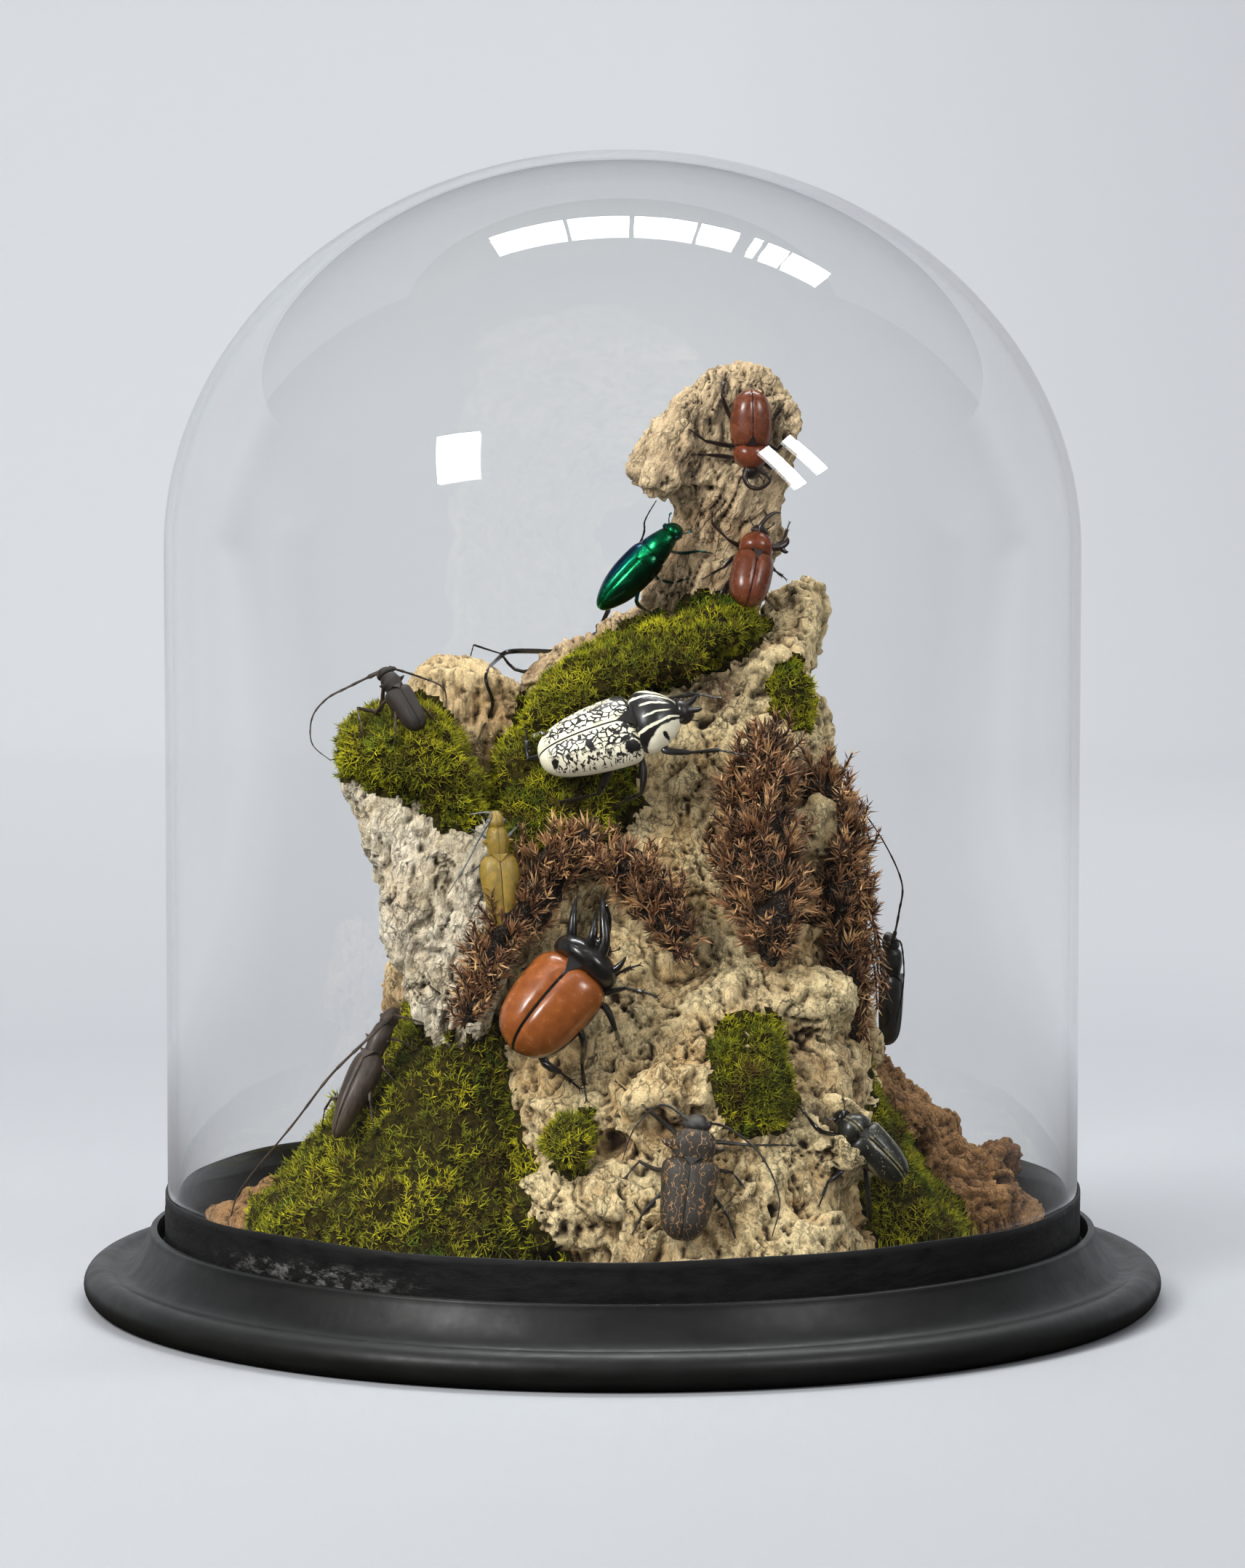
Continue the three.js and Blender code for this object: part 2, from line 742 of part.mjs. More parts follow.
function beetles() {
  beetle("rhinoceros_beetle_upper", {
    tail: [55, 398], nose: [55, 359], out: [0.1, -1, 0.1],
    elytra: { wide: 18, high: 8.5, low: 3.5 }, pronotum: { wide: 15.5, high: 7.5 }, head: { wide: 7, high: 4 },
    legs: [
      leg("hind", -1, [46, 388], [43, 396], [45, 405]),
      leg("middle", -1, [46, 374], [36, 376], [29, 381]),
      leg("front", -1, [46, 369], [37, 370], [30, 370]),
      leg("middle", 1, [67, 372], [73, 379]),
      leg("front", 1, [64, 364], [71, 366]),
      leg("hind", 1, [66, 386], [70, 392]),
    ],
    legThick: 2, horns: rhinoHorns(), color: 0x74321c,
  });
  beetle("rhinoceros_beetle_lower", {
    tail: [52, 303], nose: [59, 338], out: [0.15, -1, 0.1],
    elytra: { wide: 18, high: 8.5, low: 3.5 }, pronotum: { wide: 15, high: 7.5 }, head: { wide: 7, high: 4 },
    legs: [
      leg("front", 1, [52, 330], [46, 333], [39, 340], [39, 345]),
      leg("middle", 1, [48, 325], [44, 321], [35, 316]),
      leg("hind", 1, [45, 312], [42, 308], [36, 301]),
      leg("front", -1, [65, 329], [70, 332], [73, 340]),
      leg("middle", -1, [66, 320], [71, 316]),
      leg("hind", -1, [62, 308], [67, 302]),
    ],
    legThick: 2, horns: rhinoHorns(), color: 0x74321c,
  });
  beetle("jewel_beetle", {
    tail: [-9, 302], nose: [26, 338], out: [-0.35, -1, 0.35], depths: [-16, -14],
    elytra: { wide: 17, high: 7.5, low: 3.5 }, pronotum: { wide: 14.5, high: 6 }, head: { wide: 9, high: 4.5 },
    legs: [
      leg("front", -1, [26, 327], [33, 328], [39, 327]),
      leg("middle", -1, [15, 316], [22, 314], [29, 316]),
      leg("hind", -1, [6, 307], [10, 302], [16, 300]),
      reach("front", 1, 8, 11),
      reach("middle", 1, -8, 12),
    ],
    legThick: 1.5, color: 0x0f6a4a, gloss: 0.2,
  });
  beetle("goliath_beetle", {
    tail: [-34, 239], nose: [31, 261], out: [-0.15, -0.85, 0.55], depths: [-74, -74],
    elytra: { wide: 34, high: 13, low: 5 }, pronotum: { wide: 28, high: 12 }, head: { wide: 11, high: 6 },
    legs: [
      leg("front", 1, [13, 267], [18, 268], [32, 270], [41, 268]),
      leg("front", -1, [18, 247], [28, 246], [40, 247], [54, 244]),
      leg("middle", -1, [9, 238], [8, 229], [-3, 222]),
      leg("hind", -1, [-10, 228], [-37, 221]),
      leg("hind", 1, [-32, 244], [-40, 242], [-41, 253]),
      reach("middle", 1, -6, 22),
    ],
    legThick: 3, color: 0xd8d2ae, gloss: 0.5,
  });
  beetle("five_horned_beetle", {
    tail: [-44, 124], nose: [-6, 168], out: [-0.3, -1, 0.3], depths: [-136, -122],
    elytra: { wide: 39, high: 15, low: 5.5 }, pronotum: { wide: 31, high: 14 }, head: { wide: 12, high: 6 },
    legs: [
      leg("front", -1, [-8, 150], [1, 152], [14, 148]),
      leg("front", -1, [-2, 158], [7, 161]),
      leg("middle", -1, [-7, 144], [-3, 135], [-1, 125]),
      leg("hind", -1, [-16, 130], [-17, 118], [-15, 104]),
      leg("hind", 1, [-34, 120], [-26, 114], [-18, 108]),
      reach("middle", 1, -8, 26),
    ],
    legThick: 3,
    horns: [
      { from: 5, to: 1.6, path: [[-14, -6, 12], [-6, -8, 19], [3, -7, 21]] },
      { from: 5, to: 1.6, path: [[-14, 6, 12], [-6, 8, 19], [3, 7, 21]] },
      { from: 4, to: 1.6, path: [[-14, -11, 9], [-7, -14, 13], [-2, -13, 15]] },
      { from: 4, to: 1.6, path: [[-14, 11, 9], [-7, 14, 13], [-2, 13, 15]] },
      { from: 4.5, to: 1.6, path: [[-4, 0, 8], [4, 0, 9], [11, 0, 14], [13, 0, 21]] },
    ],
    color: 0xa5501f, gloss: 0.25,
  });
  beetle("harlequin_beetle", {
    tail: [25, 56], nose: [31, 99], out: [0, -0.9, 0.45], depths: [-170, -156],
    elytra: { wide: 21, high: 8, low: 3.5 }, pronotum: { wide: 19, high: 8 }, head: { wide: 10, high: 6 },
    legs: [
      leg("front", 1, [21, 93], [10, 103], [-3, 112]),
      leg("front", -1, [38, 89], [53, 88], [72, 86]),
      leg("middle", 1, [15, 78], [7, 81], [1, 75]),
      leg("middle", -1, [36, 78], [45, 77], [52, 69]),
      leg("hind", 1, [16, 69], [9, 63], [4, 54]),
      leg("hind", -1, [36, 69], [43, 61], [46, 52]),
    ],
    legThick: 2.2,
    antennae: [
      [[16, -158, 106], [5, -162, 97], [0, -166, 84]],
      [[44, -158, 96], [57, -161, 85], [64, -166, 68], [61, -168, 53]],
    ],
    color: 0x3a2c22, gloss: 0.7,
  });
  beetle("flower_beetle", {
    tail: [112, 65], nose: [84, 93], out: [0.1, -0.9, 0.45], depths: [-112, -110],
    elytra: { wide: 18, high: 7.5, low: 3.5 }, pronotum: { wide: 15.5, high: 7 }, head: { wide: 7, high: 4 },
    legs: [
      leg("front", 1, [82, 92], [77, 97], [73, 101]),
      leg("middle", 1, [90, 75], [85, 71], [81, 62]),
      leg("hind", 1, [102, 62], [102, 55], [99, 47]),
      reach("front", -1, 8, 13),
      reach("middle", -1, -4, 15),
      reach("hind", -1, -18, 14),
    ],
    legThick: 2, color: 0x20211c,
  });
  beetle("yellow_longhorn", {
    tail: [-50, 171], nose: [-54, 222], out: [0.15, -1, 0.1], depths: [-104, -96],
    elytra: { wide: 15, high: 6, low: 3 }, pronotum: { wide: 10, high: 5 }, head: { wide: 7.5, high: 4.5 },
    legs: [
      reach("front", 1, 12, 10),
      reach("front", -1, 12, 12),
      reach("middle", 1, -8, 13),
      reach("middle", -1, -6, 13),
      reach("hind", 1, -26, 12),
      reach("hind", -1, -24, 13),
    ],
    legThick: 1.5,
    antennae: [
      [[-60, -104, 211], [-65, -105, 201], [-73, -106, 188]],
      [[-56, -103, 222], [-64, -101, 221]],
    ],
    feelerThick: 1.3, color: 0x8f7d1c, gloss: 0.6,
  });
  beetle("brown_longhorn", {
    tail: [-118, 84], nose: [-94, 137], out: [-0.5, -0.85, 0.3], depths: [-112, -92],
    elytra: { wide: 16, high: 7, low: 3 }, pronotum: { wide: 11, high: 6 }, head: { wide: 8, high: 5 },
    legs: [
      leg("middle", 1, [-111, 105], [-122, 101], [-125, 96], [-128, 83]),
      reach("front", 1, 10, 12),
      reach("front", -1, 8, 13),
      reach("middle", -1, -10, 14),
      reach("hind", 1, -34, 13),
      reach("hind", -1, -32, 14),
    ],
    legThick: 1.7,
    antennae: [
      [[-108, -114, 126], [-137, -116, 92], [-158, -110, 65], [-164, -98, 50]],
      [[-84, -108, 134]],
    ],
    feelerThick: 1.4, color: 0x3b2719, gloss: 0.6,
  });
  beetle("dark_longhorn", {
    tail: [-86, 251], nose: [-103, 276], out: [0.1, -0.8, 0.6], depths: [-84, -70],
    elytra: { wide: 12, high: 6, low: 3 }, pronotum: { wide: 9.5, high: 5.5 }, head: { wide: 7.5, high: 5 },
    legs: [
      leg("front", 1, [-103, 263], [-112, 264], [-110, 255]),
      reach("front", -1, 12, 9),
      reach("middle", 1, -4, 13),
      reach("middle", -1, -4, 12),
      reach("hind", 1, -20, 11),
      reach("hind", -1, -20, 11),
    ],
    legThick: 1.8,
    antennae: [
      [[-116, -78, 273], [-130, -78, 262], [-131, -78, 249], [-123, -80, 242]],
      [[-86, -71, 277], [-76, -68, 272], [-75, -66, 263]],
    ],
    color: 0x2d2620, gloss: 0.8,
  });
  beetle("black_longhorn_right", {
    tail: [112, 112], nose: [113, 162], out: [1, -0.5, 0.15], depths: [-10, -14],
    elytra: { wide: 15, high: 6.5, low: 3 }, pronotum: { wide: 11, high: 6 }, head: { wide: 8, high: 5 },
    legs: [
      reach("front", 1, 12, 10),
      reach("front", -1, 12, 12),
      reach("middle", 1, -8, 13),
      reach("middle", -1, -6, 13),
      reach("hind", 1, -26, 12),
      reach("hind", -1, -24, 13),
    ],
    legThick: 1.6,
    antennae: [
      [[114, -28, 184], [109, -34, 203], [90, -42, 220]],
      [[120, -28, 152], [121, -32, 132], [118, -34, 111]],
    ],
    feelerThick: 1.2, color: 0x1d1c1a, gloss: 0.4,
  });
  beetle("black_longhorn_rear", {
    tail: [-24, 272], nose: [2, 314], out: [-0.1, 1, 0.35], behind: true,
    elytra: { wide: 15, high: 7, low: 3 }, pronotum: { wide: 12, high: 6.5 }, head: { wide: 9, high: 5.5 },
    legs: [
      leg("middle", -1, [-44, 271], [-54, 276], [-65, 280], [-66, 274]),
      reach("front", 1, 12, 14),
      reach("front", -1, 12, 14),
      reach("middle", 1, -6, 18),
      reach("hind", 1, -30, 15),
      reach("hind", -1, -30, 15),
    ],
    legThick: 1.8,
    antennae: [
      [[8, 34, 330], [10, 30, 340], [15, 26, 349]],
    ],
    feelerThick: 1.3, color: 0x1a1917, gloss: 0.4,
  });
}

add("base", baseBody(), paint.ebonised);
add("glass_dome", domeBody(), paint.glass);
add("rim_band", bandBody(), paint.blackPaper);
woodPieces();
mossPieces();
heatherPieces();
beetles();

export default root;
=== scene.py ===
# A glass dome of mounted beetles: bark, driftwood, moss and dried heather on a turned black base.
# Measures in the dictionaries are millimetres. The front faces -Y and the base's underside is at Z = 0.
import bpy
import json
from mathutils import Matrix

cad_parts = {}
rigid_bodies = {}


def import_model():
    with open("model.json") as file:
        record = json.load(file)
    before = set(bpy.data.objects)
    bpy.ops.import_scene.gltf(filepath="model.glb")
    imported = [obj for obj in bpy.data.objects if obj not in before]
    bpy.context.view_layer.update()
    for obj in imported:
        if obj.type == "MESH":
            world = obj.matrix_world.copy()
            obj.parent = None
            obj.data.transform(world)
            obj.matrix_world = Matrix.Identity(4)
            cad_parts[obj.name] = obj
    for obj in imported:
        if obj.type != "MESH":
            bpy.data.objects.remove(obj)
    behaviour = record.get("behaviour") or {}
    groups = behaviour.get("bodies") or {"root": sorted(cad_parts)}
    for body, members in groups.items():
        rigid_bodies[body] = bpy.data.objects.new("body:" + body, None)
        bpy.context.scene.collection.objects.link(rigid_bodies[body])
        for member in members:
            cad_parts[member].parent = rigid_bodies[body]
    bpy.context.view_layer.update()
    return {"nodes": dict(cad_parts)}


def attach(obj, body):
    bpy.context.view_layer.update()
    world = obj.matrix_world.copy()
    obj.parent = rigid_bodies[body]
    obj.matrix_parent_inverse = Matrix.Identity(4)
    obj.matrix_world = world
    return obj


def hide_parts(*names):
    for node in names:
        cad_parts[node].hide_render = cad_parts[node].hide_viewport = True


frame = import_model()

import json
import math
import random

import bmesh
import bpy
import numpy as np
from mathutils import Matrix, Vector, noise
from mathutils.bvhtree import BVHTree

mm = 0.001
scene = bpy.context.scene
noise.seed_set(4)  # without a seed, noise_vector changes from run to run

# The camera stands 2.4 m away, a little above the middle of the dome.
view = {"eye": (0, -2.3919, 0.4220), "look": (0, 0, 0.2254), "lens": 125.6}
camera = bpy.data.objects.new("camera", bpy.data.cameras.new("camera"))
camera.data.lens = view["lens"]
camera.data.sensor_width = 36
camera.location = view["eye"]
camera.rotation_euler = (Vector(view["look"]) - Vector(view["eye"])).to_track_quat("-Z", "Y").to_euler()
scene.collection.objects.link(camera)
scene.camera = camera
scene.view_settings.view_transform = "Standard"


def shadeSmooth(mesh, smooth=True):
    mesh.polygons.foreach_set("use_smooth", [smooth] * len(mesh.polygons))


def newPiece(name, points, faces, materials, slots=None, smooth=True):
    mesh = bpy.data.meshes.new(name)
    mesh.from_pydata([tuple(p) for p in points], [], faces)
    for material in materials:
        mesh.materials.append(material)
    if slots is not None:
        mesh.polygons.foreach_set("material_index", slots)
    shadeSmooth(mesh, smooth)
    mesh.update()
    piece = bpy.data.objects.new(name, mesh)
    scene.collection.objects.link(piece)
    return piece


def outward(piece, weld=1e-6):  # doubles merged, then every face turned out
    bm = bmesh.new()
    bm.from_mesh(piece.data)
    if weld:
        bmesh.ops.remove_doubles(bm, verts=bm.verts, dist=weld)
    bmesh.ops.recalc_face_normals(bm, faces=bm.faces)
    bm.to_mesh(piece.data)
    bm.free()


def settle(piece, slot, *nodes):
    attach(piece, "root")
    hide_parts(*nodes)


def evaluated(piece):  # the result of the modifiers as a plain mesh, with the modifiers gone
    bpy.context.view_layer.update()
    graph = bpy.context.evaluated_depsgraph_get()
    mesh = bpy.data.meshes.new_from_object(piece.evaluated_get(graph), depsgraph=graph)
    piece.modifiers.clear()
    piece.data = mesh
    return mesh


def rowsOf(items, key, width, kind=np.float32):
    out = np.zeros(len(items) * width, kind)
    items.foreach_get(key, out)
    return out.reshape(-1, width)


def pointsOf(mesh):  # vertex places in millimetres
    return rowsOf(mesh.vertices, "co", 3).astype(float) * 1000


def normalsOf(mesh):
    return rowsOf(mesh.vertex_normals, "vector", 3).astype(float)


def edgesOf(mesh):
    return rowsOf(mesh.edges, "vertices", 2, np.int64)


def placePoints(mesh, points):
    mesh.vertices.foreach_set("co", (np.asarray(points) * mm).astype(np.float32).ravel())
    mesh.update()


def storeValue(mesh, name, values):
    mesh.attributes.new(name, "FLOAT", "POINT").data.foreach_set("value", np.asarray(values, np.float32))


def storePlace(mesh, name, values):
    mesh.attributes.new(name, "FLOAT_VECTOR", "POINT").data.foreach_set("vector", np.asarray(values, np.float32).ravel())


def relaxed(points, edges, times, strength=0.5):  # neighbours' average, a few times over
    count = np.bincount(edges.ravel(), minlength=len(points)).clip(1)[:, None]
    for _ in range(times):
        total = np.stack([
            np.bincount(edges[:, 0], points[edges[:, 1], k], len(points))
            + np.bincount(edges[:, 1], points[edges[:, 0], k], len(points))
            for k in range(points.shape[1])
        ], 1)
        points = points + strength * (total / count - points)
    return points


def trianglesOf(pieces):
    return sum(len(face.vertices) - 2 for piece in pieces for face in piece.data.polygons)


def treeOf(pieces):  # a ray target in millimetres
    points, faces = [], []
    for piece in pieces:
        start = len(points)
        points += [tuple(p) for p in pointsOf(piece.data)]
        faces += [tuple(start + i for i in face.vertices) for face in piece.data.polygons]
    return BVHTree.FromPolygons(points, faces)


def curveThrough(rows, count):  # Catmull-Rom through rows of numbers
    rows = np.array(rows, float)
    t = np.linspace(0, len(rows) - 1, count)
    i = np.clip(t.astype(int), 0, len(rows) - 2)
    u = (t - i)[:, None]
    a, b, c, d = (rows[np.clip(i + k, 0, len(rows) - 1)] for k in (-1, 0, 1, 2))
    return 0.5 * (2 * b + (c - a) * u + (2 * a - 5 * b + 4 * c - d) * u**2 + (3 * b - a - 3 * c + d) * u**3)


def smoothStep(value, low, high):
    t = np.clip((value - low) / (high - low), 0, 1)
    return t * t * (3 - 2 * t)


class Net:  # places nodes and joins them in one node tree
    def __init__(self, tree):
        self.tree = tree

    def add(self, kind, inputs=None, **settings):
        node = self.tree.nodes.new(kind)
        for key, value in settings.items():
            setattr(node, key, value)
        for key, value in (inputs or {}).items():
            self.give(node.inputs[key], value)
        return node

    def give(self, socket, value):
        if isinstance(value, bpy.types.NodeSocket):
            self.tree.links.new(value, socket)
        elif value is not None:
            socket.default_value = value

    def calc(self, operation, a, b=None, clamp=False):
        return self.add("ShaderNodeMath", {0: a, 1: b}, operation=operation, use_clamp=clamp).outputs[0]

    def plus(self, a, b):
        return self.calc("ADD", a, b)

    def minus(self, a, b):
        return self.calc("SUBTRACT", a, b)

    def times(self, a, b, clamp=False):
        return self.calc("MULTIPLY", a, b, clamp)

    def over(self, a, b):
        return self.calc("DIVIDE", a, b)

    def most(self, a, b):
        return self.calc("MAXIMUM", a, b)

    def absolute(self, a):
        return self.calc("ABSOLUTE", a)

    def vector(self, operation, a, b=None, output="Vector"):
        return self.add("ShaderNodeVectorMath", {0: a, 1: b}, operation=operation).outputs[output]

    def joined(self, x=0.0, y=0.0, z=0.0):
        return self.add("ShaderNodeCombineXYZ", {0: x, 1: y, 2: z}).outputs[0]

    def draw(self, low, high, seed):  # a random number for each point
        return self.add("FunctionNodeRandomValue", {2: low, 3: high, "Seed": seed}, data_type="FLOAT").outputs[1]

    def rotated(self, rotation, angles):  # a rotation followed by turns about its own axes
        turn = self.add("FunctionNodeEulerToRotation", {0: angles}).outputs[0]
        return self.add("FunctionNodeRotateRotation", {0: rotation, 1: turn}, rotation_space="LOCAL").outputs[0]

    def parts(self, where):
        return self.add("ShaderNodeSeparateXYZ", {0: where}).outputs[:]

    def mixed(self, share, a, b):
        return self.add("ShaderNodeMix", {0: share, 6: a, 7: b}, data_type="RGBA").outputs[2]

    def laid(self, under, mask, amount, color):  # a colour over another, by a mask and an amount
        return self.mixed(self.times(mask, amount), under, color)

    def span(self, value, low, high, to=0.0, upto=1.0):
        return self.add("ShaderNodeMapRange", {0: value, 1: low, 2: high, 3: to, 4: upto}).outputs[0]

    def ramp(self, share, *stops):
        node = self.add("ShaderNodeValToRGB", {0: share})
        elements = node.color_ramp.elements
        while len(elements) < len(stops):
            elements.new(0.5)
        for element, (at, color) in zip(elements, stops):
            element.position = at
            element.color = (*color, 1)
        return node.outputs[0]

    def noise(self, where, scale, detail=4, rough=0.55, warp=0.0):
        inputs = {"Vector": where, "Scale": scale, "Detail": detail, "Roughness": rough, "Distortion": warp}
        return self.add("ShaderNodeTexNoise", inputs).outputs["Fac"]

    def moved(self, where, scale, detail, amount):  # a shift by soft noise, to add to a place
        warp = self.add("ShaderNodeTexNoise", {"Vector": where, "Scale": scale, "Detail": detail}).outputs["Color"]
        return self.vector("MULTIPLY", warp, (amount,) * 3)

    def cells(self, where, scale, feature="F1"):
        return self.add("ShaderNodeTexVoronoi", {"Vector": where, "Scale": scale}, feature=feature).outputs["Distance"]

    def attribute(self, name, output="Fac"):
        return self.add("ShaderNodeAttribute", attribute_name=name).outputs[output]

    def stretch(self, where, scale):
        return self.add("ShaderNodeMapping", {"Vector": where, "Scale": scale}).outputs[0]


def newGroup(name, kind, inputs, outputs):  # for each kind of socket, names or (name, default)
    tree = bpy.data.node_groups.new(name, kind)
    for way, sockets in (("INPUT", inputs), ("OUTPUT", outputs)):
        for socket, labels in sockets.items():
            for label in labels:
                label, default = label if isinstance(label, tuple) else (label, None)
                made = tree.interface.new_socket(label, in_out=way, socket_type="NodeSocket" + socket)
                if default is not None:
                    made.default_value = default
    net = Net(tree)
    return net, net.add("NodeGroupInput"), net.add("NodeGroupOutput")


def newMaterial(name, **sockets):  # its net, its Principled shader and its Object coordinates
    material = bpy.data.materials.new(name)
    material.use_nodes = True
    material.node_tree.nodes.clear()
    net = Net(material.node_tree)
    shader = net.add("ShaderNodeBsdfPrincipled", {key.replace("_", " "): value for key, value in sockets.items()})
    net.add("ShaderNodeOutputMaterial", {"Surface": shader.outputs[0]})
    where = net.add("ShaderNodeTexCoord").outputs["Object"]
    return material, net, shader, where


def bumped(net, shader, height, distance, strength=1.0):
    bump = net.add("ShaderNodeBump", {"Height": height, "Distance": distance, "Strength": strength})
    net.give(shader.inputs["Normal"], bump.outputs[0])


def rgb(red, green, blue):  # 0-255 as the eye sees it, to linear light
    linear = [c / 255 / 12.92 if c < 10 else ((c / 255 + 0.055) / 1.055) ** 2.4 for c in (red, green, blue)]
    return tuple(linear)


def rgba(*color):
    return (*rgb(*color), 1)


print("stage: helpers ready")


# Finishes that more than one piece uses are node groups.
def barkGroup():  # colour and relief of weathered cork and its patches, with painted shade in its cracks, pits and hollows
    net, given, out = newGroup("weatheredBark", "ShaderNodeTree", {
        "Vector": ["Where"], "Color": ["Pale", "Middle", "Dark", "Rust"],
        "Float": [("Deep", 0), ("Tone", 0.5), ("Rust share", 0.2), ("Grain", 1), ("Run", 0.45), ("Lean", 0),
                  ("Pores", 1), ("Stain", 0)],
    }, {"Color": ["Color"], "Float": ["Roughness", "Height"]})
    where, middle, dark = [given.outputs[key] for key in ("Where", "Middle", "Dark")]
    across, away, high = net.parts(where)
    slid = net.minus(across, net.times(high, given.outputs["Lean"]))
    upright = net.joined(slid, away, net.times(high, given.outputs["Run"]))
    broad = net.noise(where, 45, 6, 0.62, 0.5)
    fine = net.noise(upright, 430, 7, 0.72)
    streak = net.noise(upright, 150, 6, 0.7)
    grit = net.noise(where, 1500, 5, 0.7)
    holes = net.times(net.span(net.cells(where, 260), 0.30, 0.10), net.span(net.noise(where, 95, 3), 0.50, 0.60))
    pores = net.times(holes, given.outputs["Pores"], True)
    bent = net.vector("ADD", upright, net.moved(where, 130.0, 4.0, 0.012))
    hair = net.span(net.cells(bent, 75, "DISTANCE_TO_EDGE"), 0.035, 0.0)
    hair = net.times(hair, net.span(net.noise(where, 55, 3), 0.42, 0.6))
    chips = net.cells(bent, 190)
    chipEdge = net.span(net.cells(bent, 190, "DISTANCE_TO_EDGE"), 0.12, 0.0)
    chipEdge = net.times(chipEdge, net.span(net.noise(where, 80, 3), 0.40, 0.58))
    tone = net.plus(net.times(given.outputs["Tone"], 0.55), net.times(broad, 0.55))
    color = net.mixed(net.span(tone, 0.34, 0.72), middle, given.outputs["Pale"])
    rust = net.times(net.span(net.noise(where, 19, 5, 0.65), 0.54, 0.66), given.outputs["Rust share"], True)
    color = net.mixed(rust, color, given.outputs["Rust"])
    color = net.laid(color, given.outputs["Stain"], net.span(net.noise(where, 260, 5, 0.7), 0.35, 0.6), rgba(104, 52, 26))
    for mask, amount, over in (
        (net.span(streak, 0.5, 0.3), 0.4, middle), (net.span(fine, 0.53, 0.34), 0.6, dark),
        (net.span(grit, 0.48, 0.34), 0.5, dark), (net.span(grit, 0.55, 0.7), 0.3, rgba(246, 232, 200)),
        (hair, 0.75, dark), (chipEdge, 0.5, dark), (pores, 0.8, dark),
    ):
        color = net.laid(color, mask, amount, over)
    # painted shade: where the mesh has cracks, pits and hollows the colour goes to the dark colour
    color = net.mixed(net.calc("POWER", given.outputs["Deep"], 0.8), color, dark)
    height = net.times(fine, 1.3)
    for mask, amount in ((grit, 0.5), (streak, 1.6), (chips, -1.1), (chipEdge, -0.5), (pores, -0.7), (hair, -0.6)):
        height = net.plus(height, net.times(mask, amount))
    net.give(out.inputs["Color"], color)
    net.give(out.inputs["Roughness"], net.span(fine, 0, 1, 0.78, 0.98))
    net.give(out.inputs["Height"], net.times(height, given.outputs["Grain"]))
    return net.tree


def chitinGroup():  # punctures and fine wrinkles of a wing case, and a slow drift of tone
    net, given, out = newGroup("chitin", "ShaderNodeTree", {
        "Vector": ["Where"], "Float": [("Punctures", 1), ("Size", 2.5)],
    }, {"Float": ["Height", "Tone", "Dust"]})
    where = given.outputs["Where"]
    dots = net.span(net.cells(where, given.outputs["Size"]), 0.05, 0.4)
    height = net.plus(net.times(dots, given.outputs["Punctures"]), net.times(net.noise(where, 1.2, 4), 0.6))
    net.give(out.inputs["Height"], height)
    net.give(out.inputs["Tone"], net.noise(where, 0.22, 4, 0.6))
    net.give(out.inputs["Dust"], net.span(net.noise(where, 0.9, 6, 0.7), 0.55, 0.8))
    return net.tree


barkTree = barkGroup()
chitinTree = chitinGroup()


def barkMaterial(name, pale, middle, dark, rust, rustShare=0.2, grain=1.0, run=0.45, lean=0.0, pores=1.0):
    material, net, shader, where = newMaterial(name, Specular_IOR_Level=0.25)
    made = net.add("ShaderNodeGroup", node_tree=barkTree)
    # the deep attribute brings in the painted shade of cracks, pits and hollows
    values = {
        "Where": where, "Deep": net.attribute("deep"), "Tone": net.attribute("tone"), "Stain": net.attribute("stain"),
        "Pale": rgba(*pale), "Middle": rgba(*middle), "Dark": rgba(*dark), "Rust": rgba(*rust), "Rust share": rustShare,
        "Grain": grain, "Run": run, "Lean": lean, "Pores": pores,
    }
    for key, value in values.items():
        net.give(made.inputs[key], value)
    net.give(shader.inputs["Base Color"], made.outputs["Color"])
    net.give(shader.inputs["Roughness"], made.outputs["Roughness"])
    bumped(net, shader, made.outputs["Height"], 1.1 * mm)
    return material


cork = barkMaterial("pale cork", (242, 219, 168), (210, 174, 119), (44, 28, 15), (150, 96, 52), 0.45)
greyCork = barkMaterial("grey cork", (244, 232, 206), (216, 197, 162), (52, 42, 32), (164, 126, 98), 0.25, run=0.3,
                        lean=0.25)
tanCork = barkMaterial("tan cork", (232, 204, 154), (190, 154, 106), (48, 32, 18), (146, 96, 56), 0.4, run=0.14,
                       pores=0.5)
rustCork = barkMaterial("rust cork", (170, 127, 80), (116, 78, 44), (34, 22, 13), (120, 74, 42), 0.5, run=0.3, lean=-0.4,
                        pores=0.5)
driftwood = barkMaterial("driftwood", (234, 206, 164), (190, 156, 116), (40, 27, 17), (126, 84, 54), 0.45, 1.3, run=0.07,
                         lean=0.5, pores=0.0)


